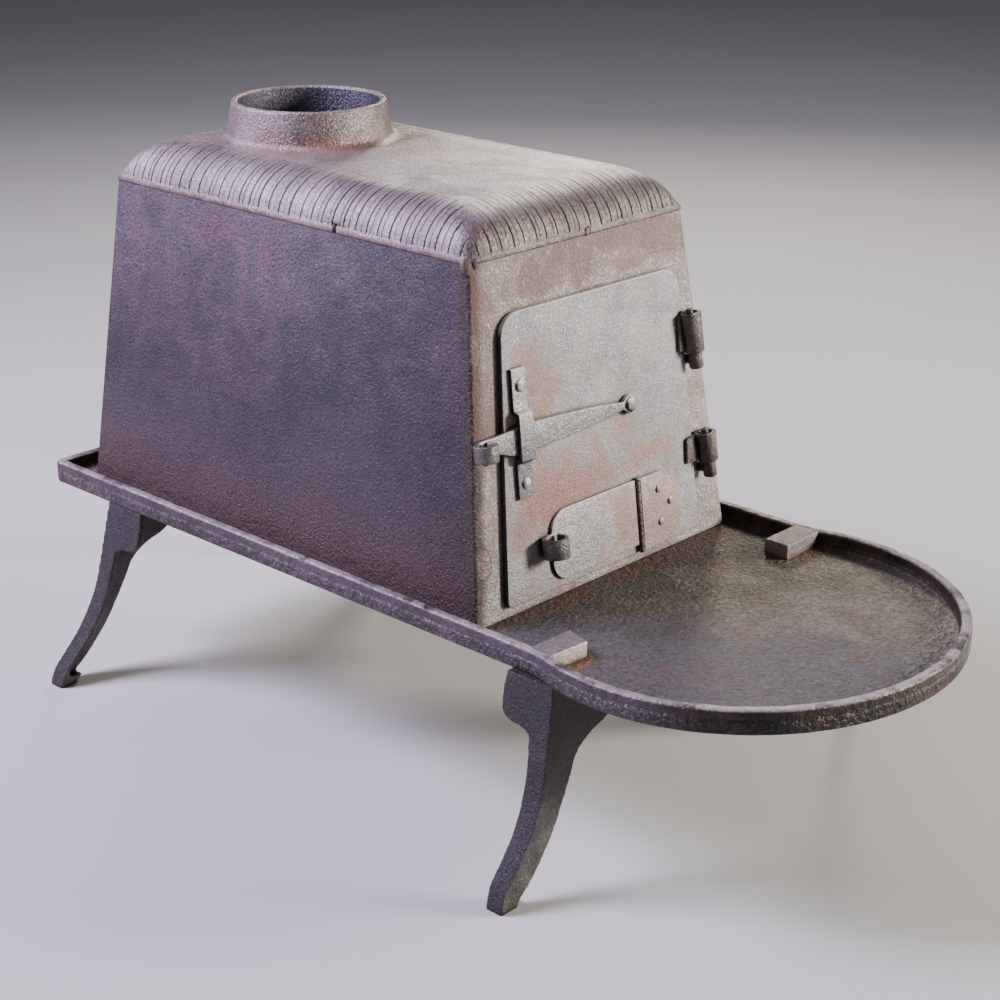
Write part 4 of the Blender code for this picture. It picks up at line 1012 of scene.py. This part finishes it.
def dome(name, node, x, s, n0, r, h, shank, mat, body="door", rugged=0.00012):
    prof = ([(0, n0 + h)] + [(r * math.sin(a), n0 + h * math.cos(a)) for a in np.linspace(0.2, 1.45, 8)]
            + [(r, n0 - 0.0001), (shank, n0 - 0.0001), (shank, 0.0), (shank * 1.5, 0.0), (shank * 1.3, -0.0012), (0, -0.0012)])
    ob = lathe(name, prof, FACE @ Matrix.Translation((x, s, 0)), 32)
    roughen(ob, rugged, 300.0 if rugged < 0.0003 else 170.0)
    return show(ob, body, node, mat)


dome("keeper_rivet_high", "upper_keeper_rivet", -0.0960, 0.1880, 0.0088, 0.0050, 0.0026, 0.0027, FLAP_MAT)
dome("keeper_rivet_low", "lower_keeper_rivet", -0.0985, 0.1080, 0.0088, 0.0050, 0.0026, 0.0027, FLAP_MAT)
dome("pivot_rivet_head", "latch_pivot_rivet", 0.0340, 0.1420, 0.0106, 0.0064, 0.0032, 0.0035, FIT_MAT, rugged=0.0006)
for nm, x, s in (("upper_leaf_rivet", 0.0627, 0.0598), ("middle_leaf_rivet", 0.0777, 0.0456), ("lower_leaf_rivet", 0.0635, 0.0303)):
    dome(nm + "_head", nm, x, s, 0.0095, 0.0034, 0.0017, 0.0018, FLAP_MAT)

# draft flap, leaf and pin
leaf = prism("leaf_plate", rounded([(0.0405, 0.0108), (0.0670, 0.0110), (0.0800, 0.0140), (0.0960, 0.0314), (0.0950, 0.0500), (0.0683, 0.0738), (0.0405, 0.0745)],
                                   (0.0005, 0.008, 0.010, 0.006, 0.002, 0.001, 0.0005), 5), 0.0056, 0.0092, FACE, 0.0007, 3)
show(leaf, "door", "draft_hinge_leaf", FLAP_MAT)
PIN_LINE = FACE @ Matrix.Translation((0.0371, 0, 0.0084)) @ basis((1, 0, 0), (0, 0, -1), (0, 1, 0))
for i, (a, b) in enumerate(((0.0112, 0.0335), (0.0553, 0.0740))):
    k = lathe(f"leaf_knuckle_{i}", [(0.0013, a), (0.0024, a), (0.0024, b), (0.0013, b)], PIN_LINE, 20)
    show(k, "door", None, PIN_MAT)
k = lathe("flap_knuckle", [(0.0013, 0.0340), (0.0024, 0.0340), (0.0024, 0.0548), (0.0013, 0.0548)], PIN_LINE, 20)
show(k, "flap", None, PIN_MAT)
k = lathe("flap_pin", [(0, 0.0762), (0.0020, 0.0760), (0.0024, 0.0745), (0.0012, 0.0745), (0.0012, 0.0107), (0.0022, 0.0107), (0.0020, 0.0096), (0, 0.0096)], PIN_LINE, 20)
show(k, "door", "draft_hinge_pin", PIN_MAT)


def curl(name, x, n_low, radii, s0, s1, sweep=305, bevel=0.0007):
    cn = n_low + radii[0]
    pts = arc(x, cn, radii[0], -82, -90 - sweep, 44) + arc(x, cn, radii[1], -90 - sweep, -82, 44)
    return prism(name, pts, -s1, -s0, PLAN, bevel, 2, sharp=50)


flap_line = rounded([(-0.0747, 0.0155), (0.0345, 0.0170), (0.0345, 0.0746), (-0.0740, 0.0750)], (0.016, 0.001, 0.001, 0.020), 10)
flap = prism("flap_plate", flap_line, 0.0056, 0.0083, FACE, 0.0007, 3)
show(flap, "flap", "draft_flap", FLAP_MAT)
tongue = prism("flap_tongue", [(-0.0800, 0.0405), (-0.0690, 0.0405), (-0.0690, 0.0575), (-0.0800, 0.0575)], 0.0057, 0.0088, FACE, 0.0005, 2)
show(tongue, "flap", None, FLAP_MAT)
fc = curl("flap_finger_loop", -0.0790, 0.0056, (0.01125, 0.0080), 0.0405, 0.0575)
roughen(fc, 0.00015, 260.0)
show(fc, "flap", None, CURL_MAT)

# latch arm
arm_line = ([(-0.1475, 0.1390), (-0.1270, 0.1390), (-0.1120, 0.1336), (-0.0850, 0.1332), (-0.0450, 0.1342), (-0.0055, 0.1358), (0.0150, 0.1376),
             (0.0245, 0.1390)] + arc(0.0340, 0.1420, 0.0080, 212, 508, 28)
            + [(0.0245, 0.1455), (0.0150, 0.1470), (-0.0055, 0.1498), (-0.0450, 0.1532), (-0.0850, 0.1559), (-0.1120, 0.1545), (-0.1475, 0.1530)])
arm = prism("latch_strap", arm_line, 0.0058, 0.0103, FACE, 0.0010, 3)
show(arm, "latch", "latch_arm", FIT_MAT)
ac = curl("latch_finger_loop", -0.1475, 0.0058, (0.0100, 0.0062), 0.1390, 0.1530)
roughen(ac, 0.00015, 260.0)
show(ac, "latch", None, CURL_MAT)

# ------------------------------------------------------------------ floor and light
bm = bmesh.new()
bmesh.ops.create_grid(bm, x_segments=1, y_segments=1, size=6.0)
me = bpy.data.meshes.new("floor")
bm.to_mesh(me)
bm.free()
floor = link("floor", me)
fm = Shade("pale_floor")
fm.finish(fm.mix(fm.noise(3.0, 3), (0.44, 0.435, 0.425), (0.47, 0.465, 0.455)), 0.85, None, 0.0)
me.materials.append(fm.mat)


def area(name, place, aim, size, power, colour):
    d = bpy.data.lights.new(name, 'AREA')
    d.shape = 'RECTANGLE'
    d.size, d.size_y = size
    d.energy = power
    d.color = colour
    ob = bpy.data.objects.new(name, d)
    scene.collection.objects.link(ob)
    ob.matrix_world = Matrix.Translation(place) @ (Vector(aim) - Vector(place)).to_track_quat('-Z', 'Y').to_matrix().to_4x4()
    return ob


def aimed(name, az, el, dist, size, power, colour, aim=(0.0, -0.10, 0.30)):
    a, e = math.radians(az), math.radians(el)
    d = Vector((math.cos(a) * math.cos(e), math.sin(a) * math.cos(e), math.sin(e)))
    return area(name, Vector(aim) + d * dist, aim, (size, size), power, colour)


aimed("key", -48, 17, 2.5, 0.60, 126, (1.0, 0.95, 0.89))
aimed("rear_right", 36, 25, 2.6, 0.42, 28, (1.0, 0.90, 0.76))
aimed("cool", 133, 42, 2.3, 0.9, 150, (0.78, 0.70, 1.0))
aimed("front_fill", -125, 25, 3.0, 1.6, 5, (1.0, 0.97, 0.95))
world = bpy.data.worlds.new("studio")
scene.world = world
world.use_nodes = True
world.node_tree.nodes["Background"].inputs[0].default_value = (0.80, 0.82, 0.86, 1.0)
world.node_tree.nodes["Background"].inputs[1].default_value = 0.10

bpy.context.view_layer.update()
